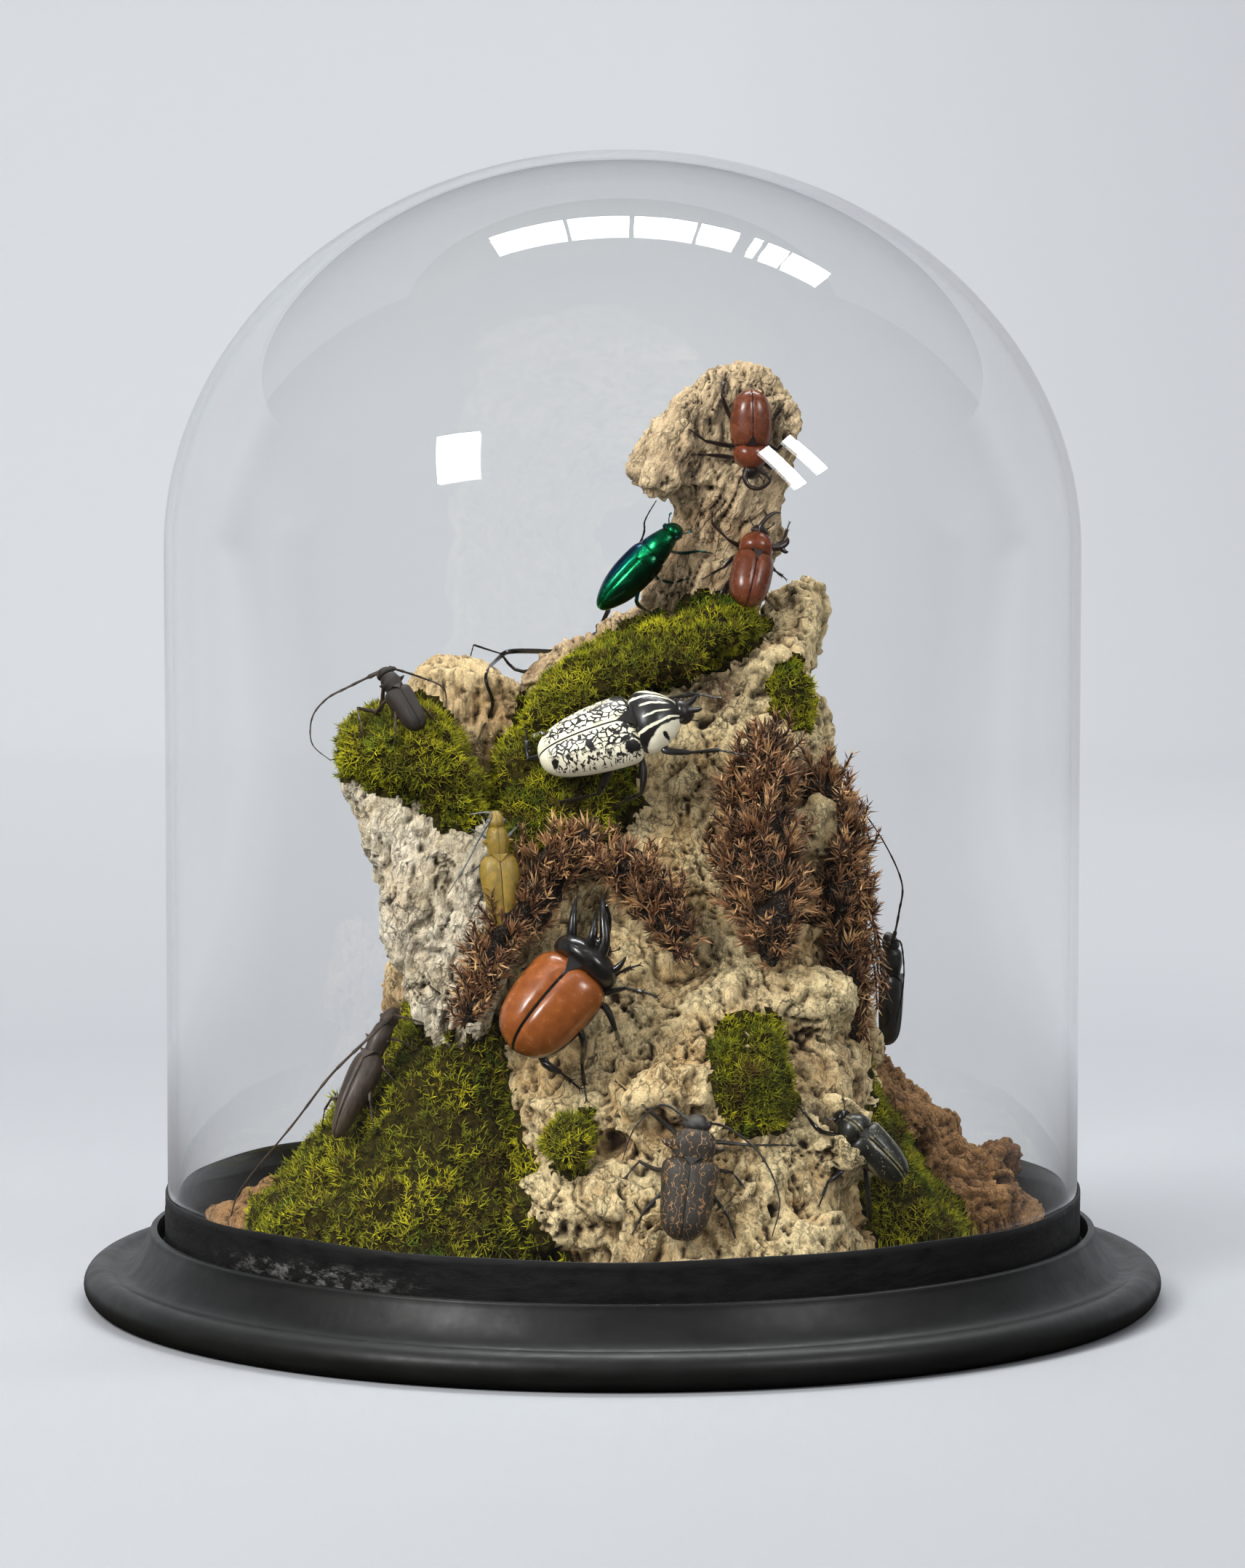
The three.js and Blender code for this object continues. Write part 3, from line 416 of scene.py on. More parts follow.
def mossMaterial():  # blades darken towards their foot as painted shade under the shoots, and the mat's hollows get painted shade
    material, net, shader, where = newMaterial("moss blades", Roughness=0.75, Specular_IOR_Level=0.25)
    patch = net.span(net.noise(where, 38, 5, 0.68, 0.6), 0.36, 0.64)
    tint = net.plus(net.times(net.attribute("tint"), 0.4), net.times(patch, 0.65))
    color = net.ramp(tint, (0.0, rgb(62, 68, 3)), (0.45, rgb(142, 144, 6)), (1.0, rgb(234, 224, 34)))
    dead = net.times(net.span(net.noise(where, 70, 4), 0.52, 0.62), net.span(net.attribute("tint"), 0.85, 0.5))
    color = net.laid(color, dead, 0.8, rgba(104, 66, 22))
    color = net.laid(color, net.span(net.noise(where, 60, 3, 0.5, 0.3), 0.60, 0.66), 0.6, rgba(54, 110, 18))
    # painted shade in the hollows of the moss mat
    color = net.laid(color, net.span(net.attribute("hollow_shade"), 0.42, 0.9), 0.75, rgba(26, 26, 6))
    # painted shade: each blade goes near black towards its foot, under the shoots
    color = net.mixed(net.span(net.attribute("tip"), 0.0, 0.9), rgba(22, 22, 5), color)
    net.give(shader.inputs["Base Color"], color)
    return material


# the mat under the shoots is near black: painted shade between the shoots
def mossShadeMatMaterial():
    material, net, shader, where = newMaterial("moss mat shade", Roughness=0.95, Specular_IOR_Level=0.1)
    patch = net.span(net.noise(where, 260, 5, 0.7), 0.35, 0.65)
    net.give(shader.inputs["Base Color"], net.mixed(patch, rgba(20, 18, 6), rgba(60, 52, 16)))
    bumped(net, shader, net.noise(where, 700, 4, 0.7), 1.2 * mm)
    return material


def heatherMaterial():
    material, net, shader, where = newMaterial("heather leaves", Roughness=0.6, Specular_IOR_Level=0.35)
    tint = net.plus(net.attribute("tint"), net.times(net.minus(net.noise(where, 60, 3), 0.5), 0.7))
    browns = (0.0, rgb(40, 24, 15)), (0.35, rgb(90, 56, 36)), (0.7, rgb(142, 96, 62)), (1.0, rgb(204, 164, 112))
    # painted shade: the leaflets go near black at their feet, inside the bush
    color = net.mixed(net.span(net.attribute("tip"), 0.3, 0.05), net.ramp(tint, *browns), rgba(34, 20, 12))
    color = net.laid(color, net.span(net.attribute("tip"), 0.6, 1.0), 0.45, rgba(206, 166, 118))
    net.give(shader.inputs["Base Color"], color)
    return material


mossBlade, mossShadeMat, heatherLeaf = mossMaterial(), mossShadeMatMaterial(), heatherMaterial()
# the bush's core is near black: painted shade between the tufts inside the bush
heatherShadeCore = barkMaterial("heather shade core", (52, 34, 22), (34, 21, 13), (14, 9, 6), (46, 26, 16), 0.3)
heatherStem = barkMaterial("heather stem", (104, 72, 52), (76, 48, 34), (34, 20, 14), (90, 50, 30), 0.3)


def ebonisedMaterial():
    material, net, shader, where = newMaterial("ebonised wood", Coat_Weight=0.12, Coat_Roughness=0.3,
                                               Specular_IOR_Level=0.45)
    round = net.noise(net.stretch(where, (1, 1, 6)), 26, 5, 0.6)
    wear = net.span(net.noise(where, 300, 6, 0.75), 0.62, 0.8)
    color = net.mixed(net.span(round, 0.35, 0.7), rgba(14, 14, 12), rgba(24, 25, 22))
    color = net.laid(color, wear, 0.35, rgba(62, 60, 54))
    net.give(shader.inputs["Base Color"], color)
    net.give(shader.inputs["Roughness"], net.span(net.noise(where, 60, 5, 0.7), 0.3, 0.7, 0.42, 0.6))
    height = net.plus(net.noise(where, 40, 3), net.times(net.noise(where, 900, 3), 0.05))
    bumped(net, shader, height, 0.5 * mm)
    return material


def bandMaterial():
    material, net, shader, where = newMaterial("black paper", Specular_IOR_Level=0.35)
    crease = net.noise(net.stretch(where, (1, 1, 2.5)), 70, 5, 0.65)
    across, away, high = net.parts(where)
    chips = net.times(net.span(net.noise(where, 160, 6, 0.8), 0.60, 0.66), net.span(high, 0.031, 0.024))
    color = net.mixed(net.span(crease, 0.3, 0.75), rgba(16, 15, 15), rgba(30, 29, 28))
    place = net.times(net.span(across, -0.175, -0.14), net.span(across, -0.075, -0.115))
    place = net.times(net.times(place, net.span(away, 0.0, -0.05)), net.span(high, 0.041, 0.036))
    scuff = net.span(net.noise(net.stretch(where, (1, 1, 2.2)), 130, 7, 0.8), 0.50, 0.62)
    color = net.laid(color, net.times(scuff, place), 0.5, rgba(150, 148, 142))
    color = net.laid(color, chips, 0.8, rgba(168, 166, 160))
    net.give(shader.inputs["Base Color"], color)
    net.give(shader.inputs["Roughness"], net.span(crease, 0.3, 0.7, 0.5, 0.75))
    bumped(net, shader, net.plus(crease, net.times(net.noise(where, 1200, 2), 0.1)), 0.5 * mm)
    return material


def glassMaterial():  # blown glass that lets the lamps through
    material, net, shader, where = newMaterial("blown glass", Roughness=0.0, IOR=1.5, Transmission_Weight=1.0)
    net.give(shader.inputs["Base Color"], (1, 1, 1, 1))
    clear = net.add("ShaderNodeBsdfTransparent", {"Color": (0.97, 0.98, 0.98, 1)})
    lamp = net.add("ShaderNodeLightPath").outputs["Is Shadow Ray"]
    mix = net.add("ShaderNodeMixShader", {0: lamp, 1: shader.outputs[0], 2: clear.outputs[0]})
    output = next(n for n in material.node_tree.nodes if n.type == "OUTPUT_MATERIAL")
    net.give(output.inputs["Surface"], mix.outputs[0])
    tinge = net.add("ShaderNodeVolumeAbsorption", {"Color": (0.82, 0.9, 0.87, 1), "Density": 4.0})
    net.give(output.inputs["Volume"], tinge.outputs[0])
    bumped(net, shader, net.noise(net.stretch(where, (1, 1, 0.3)), 9, 2, 0.4), 1.0 * mm, 0.15)
    return material


ebonised, blackPaper, domeGlass = ebonisedMaterial(), bandMaterial(), glassMaterial()
print("stage: finishes ready")

# The studio: a pale round floor that sweeps up all round, a window at the front left and a roof light of seven panes.
studio = {
    "paper": (176, 178, 182), "wall": (218, 220, 222), "shade": (196, 196, 200), "table": (40, 36, 34), "upperWallGlow": 0.8,
    "floorRadius": 4.6, "bend": 1.6, "wallHigh": 2.4, "sky": 0.72, "key": 30, "fill": 6, "wash": 42, "window": 22, "roofLight": 18,
    "panes": [(0.38, 0.02), (0.29, 0.025), (0.3, 0.02), (0.2, 0.08), (0.05, 0.03), (0.13, 0.015), (0.28, 0)],  # width, gap
}


def reflectedOnly(net):  # 1 for what a shiny surface mirrors, 0 for what is seen directly or through glass
    path = net.add("ShaderNodeLightPath").outputs
    shiny = net.calc("GREATER_THAN", path["Glossy Depth"], 0.5)
    return net.times(shiny, net.calc("LESS_THAN", path["Diffuse Depth"], 0.5))


def paperMaterial():  # pale to the eye; what mirrors it sees a darker room in front
    material, net, shader, where = newMaterial("pale paper", Roughness=0.9, Specular_IOR_Level=0.1)
    across, away, high = net.parts(where)
    front = net.span(net.plus(away, net.span(high, 0.4, 0.0, 0.0, 1.3)), 2.1, 1.3)
    far = net.span(net.vector("LENGTH", net.joined(across, away), output="Value"), 0.9, 3.2)
    paper = net.mixed(far, rgba(*studio["paper"]), rgba(*studio["wall"]))
    shade = net.times(net.span(across, 0.1, 0.9), net.span(away, 0.5, 2.5))
    paper = net.laid(paper, shade, 0.75, rgba(*studio["shade"]))
    net.give(shader.inputs["Base Color"], net.laid(paper, reflectedOnly(net), front, rgba(*studio["table"])))
    bumped(net, shader, net.noise(where, 900, 2), 0.1 * mm)
    return material


# a glowing surface, no lamp, that stands in for a pale wall seen in the glass
def glowMaterial():
    material = bpy.data.materials.new("glowing upper wall")
    material.use_nodes = True
    material.node_tree.nodes.clear()
    net = Net(material.node_tree)
    glow = net.add("ShaderNodeEmission", {"Color": rgba(214, 219, 226), "Strength": studio["upperWallGlow"]})
    net.add("ShaderNodeOutputMaterial", {"Surface": glow.outputs[0]})
    return material


def aroundOf(count):
    return np.linspace(0, 2 * math.pi, count, endpoint=False)


def skinFaces(rings, sides):  # the four-sided faces of a skin over equal rings
    return [(r * sides + s, r * sides + (s + 1) % sides, (r + 1) * sides + (s + 1) % sides, (r + 1) * sides + s)
            for r in range(rings - 1) for s in range(sides)]


def makeStudio():
    reach, bend, around = studio["floorRadius"], studio["bend"], 96
    rows = [(0, 0), (1, 0), (reach - bend, 0)]
    rows += [(reach - bend + bend * math.sin(a), bend - bend * math.cos(a)) for a in np.linspace(0, math.pi / 2, 16)[1:]]
    rows += [(reach, studio["wallHigh"])]
    points = [(r * math.cos(a), r * math.sin(a), z) for r, z in rows[1:] for a in aroundOf(around)]
    faces = skinFaces(len(rows) - 1, around)
    faces = [face[::-1] for face in faces] + [tuple(range(around))]
    sweep = newPiece("studio_sweep", points, faces, [paperMaterial()])
    turns = np.linspace(math.radians(28), math.radians(152), 41)
    points = [(4.5 * math.cos(a), 4.5 * math.sin(a), z) for z in (2.3, 6.4) for a in turns]
    # a glowing panel above the wall, seen only in reflections: a painted reflection of a pale wall in the glass
    upper = newPiece("upper_wall", points, [(i, i + 1, i + 42, i + 41) for i in range(40)], [glowMaterial()])
    upper.visible_camera = upper.visible_diffuse = upper.visible_transmission = upper.visible_shadow = False
    world = bpy.data.worlds.new("room")
    world.use_nodes = True
    net = Net(world.node_tree)
    back = world.node_tree.nodes["Background"]
    net.give(back.inputs["Color"], net.mixed(reflectedOnly(net), rgba(224, 227, 231), rgba(60, 62, 66)))
    back.inputs["Strength"].default_value = studio["sky"]
    scene.world = world

    def lamp(name, place, aim, size, power, color=(1, 1, 1), mirrored=True, turn=0, lit=True):
        light = bpy.data.lights.new(name, "AREA")
        light.shape = "RECTANGLE"
        light.size, light.size_y = size
        light.energy, light.color = power, color
        holder = bpy.data.objects.new(name, light)
        holder.location = place
        facing = (Vector(aim) - Vector(place)).to_track_quat("-Z", "Y").to_matrix() @ Matrix.Rotation(turn, 3, "Z")
        holder.rotation_euler = facing.to_euler()
        holder.visible_camera, holder.visible_diffuse = False, lit
        holder.visible_glossy = holder.visible_transmission = mirrored
        scene.collection.objects.link(holder)

    middle = (0, 0, 0.25)
    lamp("wall_wash", (0, 1.8, 3.0), (0, 4.2, 0.8), (3.4, 0.7), studio["wash"], (0.98, 0.99, 1), False)
    lamp("soft_key", (-1.5, -1.7, 2.3), middle, (1.1, 0.9), studio["key"], (1, 0.98, 0.94), False)
    lamp("soft_fill", (2.2, -1.8, 1.0), middle, (1.4, 1.4), studio["fill"], (0.95, 0.97, 1), False)
    lamp("window", (-1.215, -1.31, 1.30), (0, 0, 0.365), (0.36, 0.48), studio["window"], turn=0.3)
    lamp("skylight_near", (1.30, -1.487, 1.293), (0.064, -0.183, 0.369), (0.13, 0.50), 6, turn=0.5, lit=False)
    lamp("skylight_far", (1.47, -1.303, 1.413), (0.072, -0.179, 0.374), (0.12, 0.46), 5, turn=0.5, lit=False)
    edge = -0.66
    for wide, gap in studio["panes"]:
        x = edge + wide / 2
        lamp(f"roof_pane_{len(bpy.data.lights)}", (x, 0.73, 2.3), (x, 0.2, 0.4), (wide, 0.3), studio["roofLight"] * wide)
        edge += wide + gap


makeStudio()
print("stage: studio and lamps")

# Turned base, glass and paper band.
baseSize = {
    "radius": 237, "roll": 8, "valley": 14, "lip": 208, "lipHigh": 31.5, "grooveOut": 204.6, "grooveIn": 193,
    "groove": 22, "floor": 28, "around": 192,
}
domeSize = {"radius": 200, "wall": 4, "shoulder": 328, "top": 502, "foot": 22.3, "around": 160}
bandSize = {"radius": 200.35, "thick": 1, "foot": 22.3, "top": 49, "around": 200}


def turned(name, profile, around, material, wobble=None):  # a closed profile of (radius, height) spun about Z
    points, faces, rings = [], [], []
    for r, z in profile:
        if r < 1e-6:
            rings.append([len(points)] * around)
            points.append((0, 0, z * mm))
            continue
        rings.append(list(range(len(points), len(points) + around)))
        for s in range(around):
            a = 2 * math.pi * s / around
            out, up = wobble(a, z) if wobble else (0, 0)
            points.append(((r + out) * mm * math.cos(a), (r + out) * mm * math.sin(a), (z + up) * mm))
    loops = list(zip(rings, rings[1:])) + ([(rings[-1], rings[0])] if profile[0][0] > 1e-6 else [])
    for low, high in loops:
        for s in range(around):
            t = (s + 1) % around
            corners = list(dict.fromkeys((low[s], low[t], high[t], high[s])))
            if len(corners) > 2:
                faces.append(corners)
    piece = newPiece(name, points, faces, [material])
    outward(piece)
    shadeSmooth(piece.data)
    return piece


def sharpened(piece, degrees=38):  # crisp edges stay crisp
    piece.data.set_sharp_from_angle(angle=math.radians(degrees))


def rounded(a, b, c, radius, steps=4):  # the corner b of a profile eased by a small radius
    a, b, c = (np.array(p, float) for p in (a, b, c))
    start = b + (a - b) / np.linalg.norm(a - b) * radius
    end = b + (c - b) / np.linalg.norm(c - b) * radius
    return [tuple((1 - t) ** 2 * start + 2 * t * (1 - t) * b + t * t * end) for t in np.linspace(0, 1, steps)]


def makeCase():
    s = baseSize
    r = s["roll"]
    roll = [(s["radius"] - r + r * math.cos(a), r + r * math.sin(a)) for a in np.radians(np.linspace(-78, 128, 22))]
    coveOut = s["radius"] - 2 * r - 1.5
    rise = s["lipHigh"] - 1.6 - s["valley"]
    cove = [(coveOut + (s["lip"] - coveOut) * t, s["valley"] + rise * t**1.7) for t in np.linspace(0, 1, 16)]
    lip = rounded(cove[-1], (s["lip"] - 0.3, s["lipHigh"]), (s["grooveOut"], s["lipHigh"]), 1.1)
    rest = [(s["grooveOut"] + 0.3, s["lipHigh"]), (s["grooveOut"], s["lipHigh"] - 0.4), (s["grooveOut"], s["groove"]),
            (s["grooveIn"], s["groove"]), (s["grooveIn"], s["floor"] - 0.6), (s["grooveIn"] - 0.6, s["floor"]),
            (0, s["floor"])]
    base = turned("base_turned", [(0, 0), (s["radius"] - 14, 0)] + roll + cove + lip + rest, s["around"], ebonised)
    sharpened(base)
    settle(base, "ebonised_wood", "base")

    d = domeSize
    high = d["top"] - d["shoulder"]

    def shell(radius, rise, count=44):
        arc = [(radius * math.cos(a), d["shoulder"] + rise * math.sin(a)) for a in np.linspace(0, math.pi / 2, count)]
        arc[-1] = (0, d["shoulder"] + rise)
        return [(radius, z) for z in np.linspace(d["foot"] + 0.8, d["shoulder"], 12)[:-1]] + arc

    outside = shell(d["radius"], high)
    inside = shell(d["radius"] - d["wall"], high - d["wall"])[::-1]
    foot = [(d["radius"] - d["wall"] + 0.8, d["foot"]), (d["radius"] - 0.8, d["foot"])]
    glass = turned("glass_dome_blown", inside + foot + outside, d["around"], domeGlass)
    settle(glass, "dome_glass", "glass_dome")

    b = bandSize

    def wobble(a, z):  # the paper's top edge isn't quite even
        return 0.25 * math.sin(9 * a + 1) * (z > 40), (0.5 * math.sin(5 * a + 0.6) + 0.3 * math.sin(13 * a) - 0.8) * (z > 40)

    inner, outer = b["radius"], b["radius"] + b["thick"]
    wall = [(outer, z) for z in np.linspace(b["foot"], b["top"] - 0.3, 10)]
    back = [(inner, z) for z in np.linspace(b["top"] - 0.3, b["foot"], 10)]
    band = turned("rim_band_paper", wall + [((inner + outer) / 2, b["top"])] + back, b["around"], blackPaper, wobble)
    settle(band, "black_band", "rim_band")


makeCase()
print("stage: base, glass and band")

# Bark and driftwood: each solid's form, worked over with lumps, plates, fissures, pits and grain.
carriers = [name for name in frame["nodes"] if name.startswith(("cork", "driftwood", "moss"))]
solidTree = treeOf([frame["nodes"][name] for name in carriers])

# swell: broad lumps; crease: folds between them; ledge: flaking layers; fibre: ridges along the grain; crack: jagged
# fissures as depth, spacing, stretch upwards and width; pit: holes as share, depth and spacing; stains: x, z, half width.
wood = {
    "cork_main": {
        "slot": "cork", "finish": cork, "voxel": 1.6, "budget": 150000, "swell": (4.0, 42), "crease": (2.6, 30),
        "ledge": (3.4, 24, 1.5), "fibre": (1.1, 6, 5), "grain": (0.2, 0, 1), "crack": (4.4, 26, 1.8, 0.045),
        "pit": (0.16, 4.0, 12), "fine": (1.2, 5), "paler": (222, 262),
        "stains": [(42, 269, 11), (70, 236, 8), (20, 96, 7)],
    },
    "cork_left_slab": {
        "slot": "grey_cork", "finish": greyCork, "voxel": 1.3, "budget": 65000, "swell": (2.5, 34), "crease": (1.6, 24),
        "ledge": (2.4, 18, 2.4), "fibre": (1.3, 5, 8), "grain": (0.25, 0, 1), "crack": (3.6, 17, 3.6, 0.05),
        "pit": (0.08, 2.0, 11), "fine": (0.8, 5),
    },
    "cork_left_rear": {
        "slot": "cork", "finish": tanCork, "voxel": 1.5, "budget": 60000, "swell": (2.6, 34), "crease": (1.0, 26),
        "ledge": (1.5, 18, 0.5), "fibre": (2.3, 6, 12), "grain": (0.02, 0, 1), "crack": (2.6, 20, 3.0, 0.04),
        "pit": (0.12, 2.0, 9), "fine": (0.4, 5),
    },
    "cork_right_foot": {
        "slot": "rust_cork", "finish": rustCork, "voxel": 1.7, "budget": 60000, "swell": (4.5, 28), "crease": (2.8, 20),
        "ledge": (2.6, 15, 0.8), "fibre": (0.8, 5, 4), "grain": (-0.6, 0, 1), "crack": (3.4, 15, 1.6, 0.06),
        "pit": (0.1, 2.4, 9), "fine": (1.6, 5),
    },
    "cork_left_foot": {
        "slot": "rust_cork", "finish": rustCork, "voxel": 2.2, "budget": 14000, "swell": (2.6, 24), "crease": (1.4, 18),
        "ledge": (1.6, 14, 1.0), "fibre": (0.6, 5, 3), "grain": (1, 0, 0.4), "crack": (1.6, 16, 1.0, 0.06),
        "pit": (0.2, 1.6, 9), "fine": (1.4, 6),
    },
    "driftwood_post": {
        "slot": "driftwood", "finish": driftwood, "voxel": 1.1, "budget": 65000, "swell": (2.0, 30), "crease": (0.6, 26),
        "ledge": (2.2, 20, 2.4), "fibre": (2.4, 5.0, 26), "grain": (0.5, 0, 1), "crack": (2.6, 14, 6.0, 0.05),
        "pit": (0.0, 1.4, 12), "fine": (0.3, 4), "paler": (346, 358), "flap": (356, 46, 3.4),
    },
}


def remeshed(node, voxel):  # a copy of a solid as one even, rounded mesh
    mesh = frame["nodes"][node].data.copy()
    mesh.materials.clear()
    piece = bpy.data.objects.new(node + "_work", mesh)
    scene.collection.objects.link(piece)
    outward(piece, 1e-5)
    mod = piece.modifiers.new("even", "REMESH")
    mod.mode = "VOXEL"
    mod.voxel_size = voxel * mm
    evaluated(piece)
    return piece


def softened(node, voxel, soft, even, moved=True):  # a rounded copy of a solid, its edges, places and normals
    piece = remeshed(node, voxel)
    edges = edgesOf(piece.data)
    points = relaxed(pointsOf(piece.data), edges, soft)
    if moved:
        placePoints(piece.data, points)
    normals = relaxed(normalsOf(piece.data), edges, even)
    return piece, edges, points, normals / np.linalg.norm(normals, axis=1)[:, None].clip(1e-6)


def between(value):
    return min(1.0, max(0.0, value))


def steps(value, soft):  # a slope turned into flat treads with short risers
    whole = math.floor(value)
    t = between((value - whole - 0.5 + soft / 2) / soft)
    return whole + t * t * (3 - 2 * t)


def reliefAt(p, s, seed):  # outward shift, how far into a crack or pit, and the tone of the patch
    q = Vector(p) + Vector((seed * 13.1, seed * 7.7, seed * 3.3))
    high, size = s["swell"]
    w = q + noise.noise_vector(q / (size * 0.7)) * size * 0.3
    w += noise.noise_vector(q / 9) * 1.5
    out = noise.noise(w / size) * 2 * high
    high, size = s["crease"]
    out += (min(0.42, abs(noise.noise(w / size))) / 0.42 - 0.62) * high
    high, size, tall = s["ledge"]
    rise = noise.fractal(Vector((w.x / size, w.y / size, w.z / size / tall)), 1.1, 2.1, 3) * 2.2
    out += (steps(rise, 0.16) - 0.25 * rise) * high
    high, size, tall = s["fibre"]
    along = Vector(s["grain"]).normalized()
    run = q.dot(along)
    across = w - along * w.dot(along)
    out += (0.5 - abs(noise.noise(across / size + along * (run / size / tall))) * 2) * high
    out += (0.5 - abs(noise.noise(across / size * 2.3 + along * (run / size / tall) * 1.7)) * 2) * high * 0.45
    deepness, size, tall, wide = s["crack"]
    line = noise.fractal(Vector((w.x / size, w.y / size, w.z / size / tall)) + Vector((7, 3, 5)), 0.9, 2.3, 4)
    crack = max(0.0, 1 - abs(line) / wide) * between(0.25 + 2.6 * noise.noise(q / 21))
    share, depth, size = s["pit"]
    near, places = noise.voronoi(q / size + noise.noise_vector(q / 4) * 0.35)
    pit = 0.0
    if noise.noise(places[0] * 5.3) > 0.5 - share:
        pit = between((1 - near[0] / 0.34) * 2.6)
    high, size = s["fine"]
    grain = noise.fractal(q / size, 0.7, 2.2, 3)
    out += grain * high - crack * deepness - pit * depth
    if "flap" in s:  # a flaking cap that stands proud of the wood below it
        foot, east, thick = s["flap"]
        rim = foot + 7 * noise.noise(q / 9) + 5 * noise.noise(q / 23)
        out += thick * between((p[2] - rim) / 1.6) * between((east - p[0]) / 8) - 0.5 * thick
    return out, max(crack, pit), 0.5 + 0.6 * noise.noise(q / 24) + 0.25 * grain


def carried(points, place):  # rows of places through a matrix
    rows = np.array(place)
    return points @ rows[:3, :3].T + rows[:3, 3]


def seatsClear(points):  # bark under a beetle's belly stays below it
    for spec in beetles.values():
        local = carried(points, spec["frame"].inverted())
        x, y, z = local.T
        long, wide = spec["long"], spec["elytra"]["wide"]
        inside = (x > -0.6 * long) & (x < spec.get("clear", 0.32) * long) & (abs(y) < wide * 0.42) & (z > -0.2) & (z < 14)
        local[inside, 2] = -0.2
        points[inside] = carried(local, spec["frame"])[inside]
    return points


def makeWood(node, s, seed):
    piece, edges, points, normals = softened(node, s["voxel"], 6, 10)
    mesh = piece.data
    made = np.array([reliefAt(p, s, seed) for p in points])
    keep = smoothStep(points[:, 2], 29, 36)  # the cut underside stays flat on the floor
    push = made[:, 0] * np.maximum(keep, 0.25) * np.where(points[:, 2] < 31, smoothStep(normals[:, 2], -0.95, -0.6), 1)
    points = points + normals * push[:, None]
    points[:, 2] = np.maximum(points[:, 2], 28.2)
    radius = np.hypot(points[:, 0], points[:, 1])
    points[:, :2] *= np.minimum(1, 191 / radius.clip(1))[:, None]
    points = seatsClear(points)
    placePoints(mesh, points)
    facing = normalsOf(mesh)
    close = np.sum((relaxed(points, edges, 4) - points) * facing, 1)
    wide = np.sum((relaxed(points, edges, 40) - points) * facing, 1)
    # deep is painted shade: it rises in the relief's cracks and pits and in narrow and broad hollows of the mesh
    storeValue(mesh, "deep", np.clip(0.9 * made[:, 1] + (close - 0.22).clip(0) + (wide - 1.0).clip(0) / 4.5, 0, 1))
    # tone: random patches, lowered in broad hollows as painted shade, and raised above the paler heights
    low, high = s.get("paler", (900, 901))
    storeValue(mesh, "tone", np.clip(made[:, 2] - 0.10 * wide + 0.45 * smoothStep(points[:, 2], low, high), 0, 1))
    stain = np.zeros(len(points))
    for x, z, half in s.get("stains", []):
        stain = np.maximum(stain, np.exp(-((points[:, 0] - x) ** 2 + (points[:, 2] - z) ** 2) / half ** 2))
    storeValue(mesh, "stain", stain)
    shadeSmooth(mesh)
    mesh.materials.append(s["finish"])
    share = s["budget"] / (2 * len(mesh.polygons))
    if share < 0.98:
        thin = piece.modifiers.new("thin", "DECIMATE")
        thin.ratio = share
        evaluated(piece)
    piece.name = node + "_bark"
    settle(piece, s["slot"], node)
    print("  ", piece.name, len(piece.data.polygons), "faces")
    return piece


# Where each beetle sits. Tail and nose are (x, z) seen from the front, out points away from the bark.
def depthAt(tree, x, z, behind=False):
    hit = tree.ray_cast(Vector((x, 400 if behind else -400, z)), Vector((0, -1 if behind else 1, 0)))
    return None if hit[0] is None else hit[0].y


def upOf(place):
    return (place.to_3x3() @ Vector((0, 0, 1))).normalized()


def riseAt(tree, place, along, side):  # how far the ground stands above the belly's plane
    up = upOf(place)
    hit = tree.ray_cast(place @ Vector((along, side, 40)), -up, 75)
    return None if hit[0] is None else 40 - hit[3]


def seat(spec):
    depths = spec.get("depths", (None, None))
    ends = []
    for (x, z), given in zip((spec["tail"], spec["nose"]), depths):
        y = given if given is not None else depthAt(solidTree, x, z, spec.get("behind", False))
        ends.append(Vector((x, y or 0, z)))
    rear, front = ends
    ahead = (front - rear).normalized()
    up = Vector(spec["out"])
    up = (up - ahead * up.dot(ahead)).normalized()
    left = up.cross(ahead)
    long = (front - rear).length
    waist = rear + ahead * long * 0.66
    turn = Matrix((ahead, left, up)).transposed().to_4x4()
    place = Matrix.Translation(waist) @ turn
    rises = [riseAt(solidTree, place, along * long, side * spec["elytra"]["wide"])
             for along in (-0.6, -0.45, -0.3, -0.15, 0, 0.15, 0.28) for side in (-0.3, 0, 0.3)]
    lift = min(max([0] + [r for r in rises if r is not None]), 14) + 1
    spec["frame"] = Matrix.Translation(waist + up * lift) @ turn
    spec["long"] = long


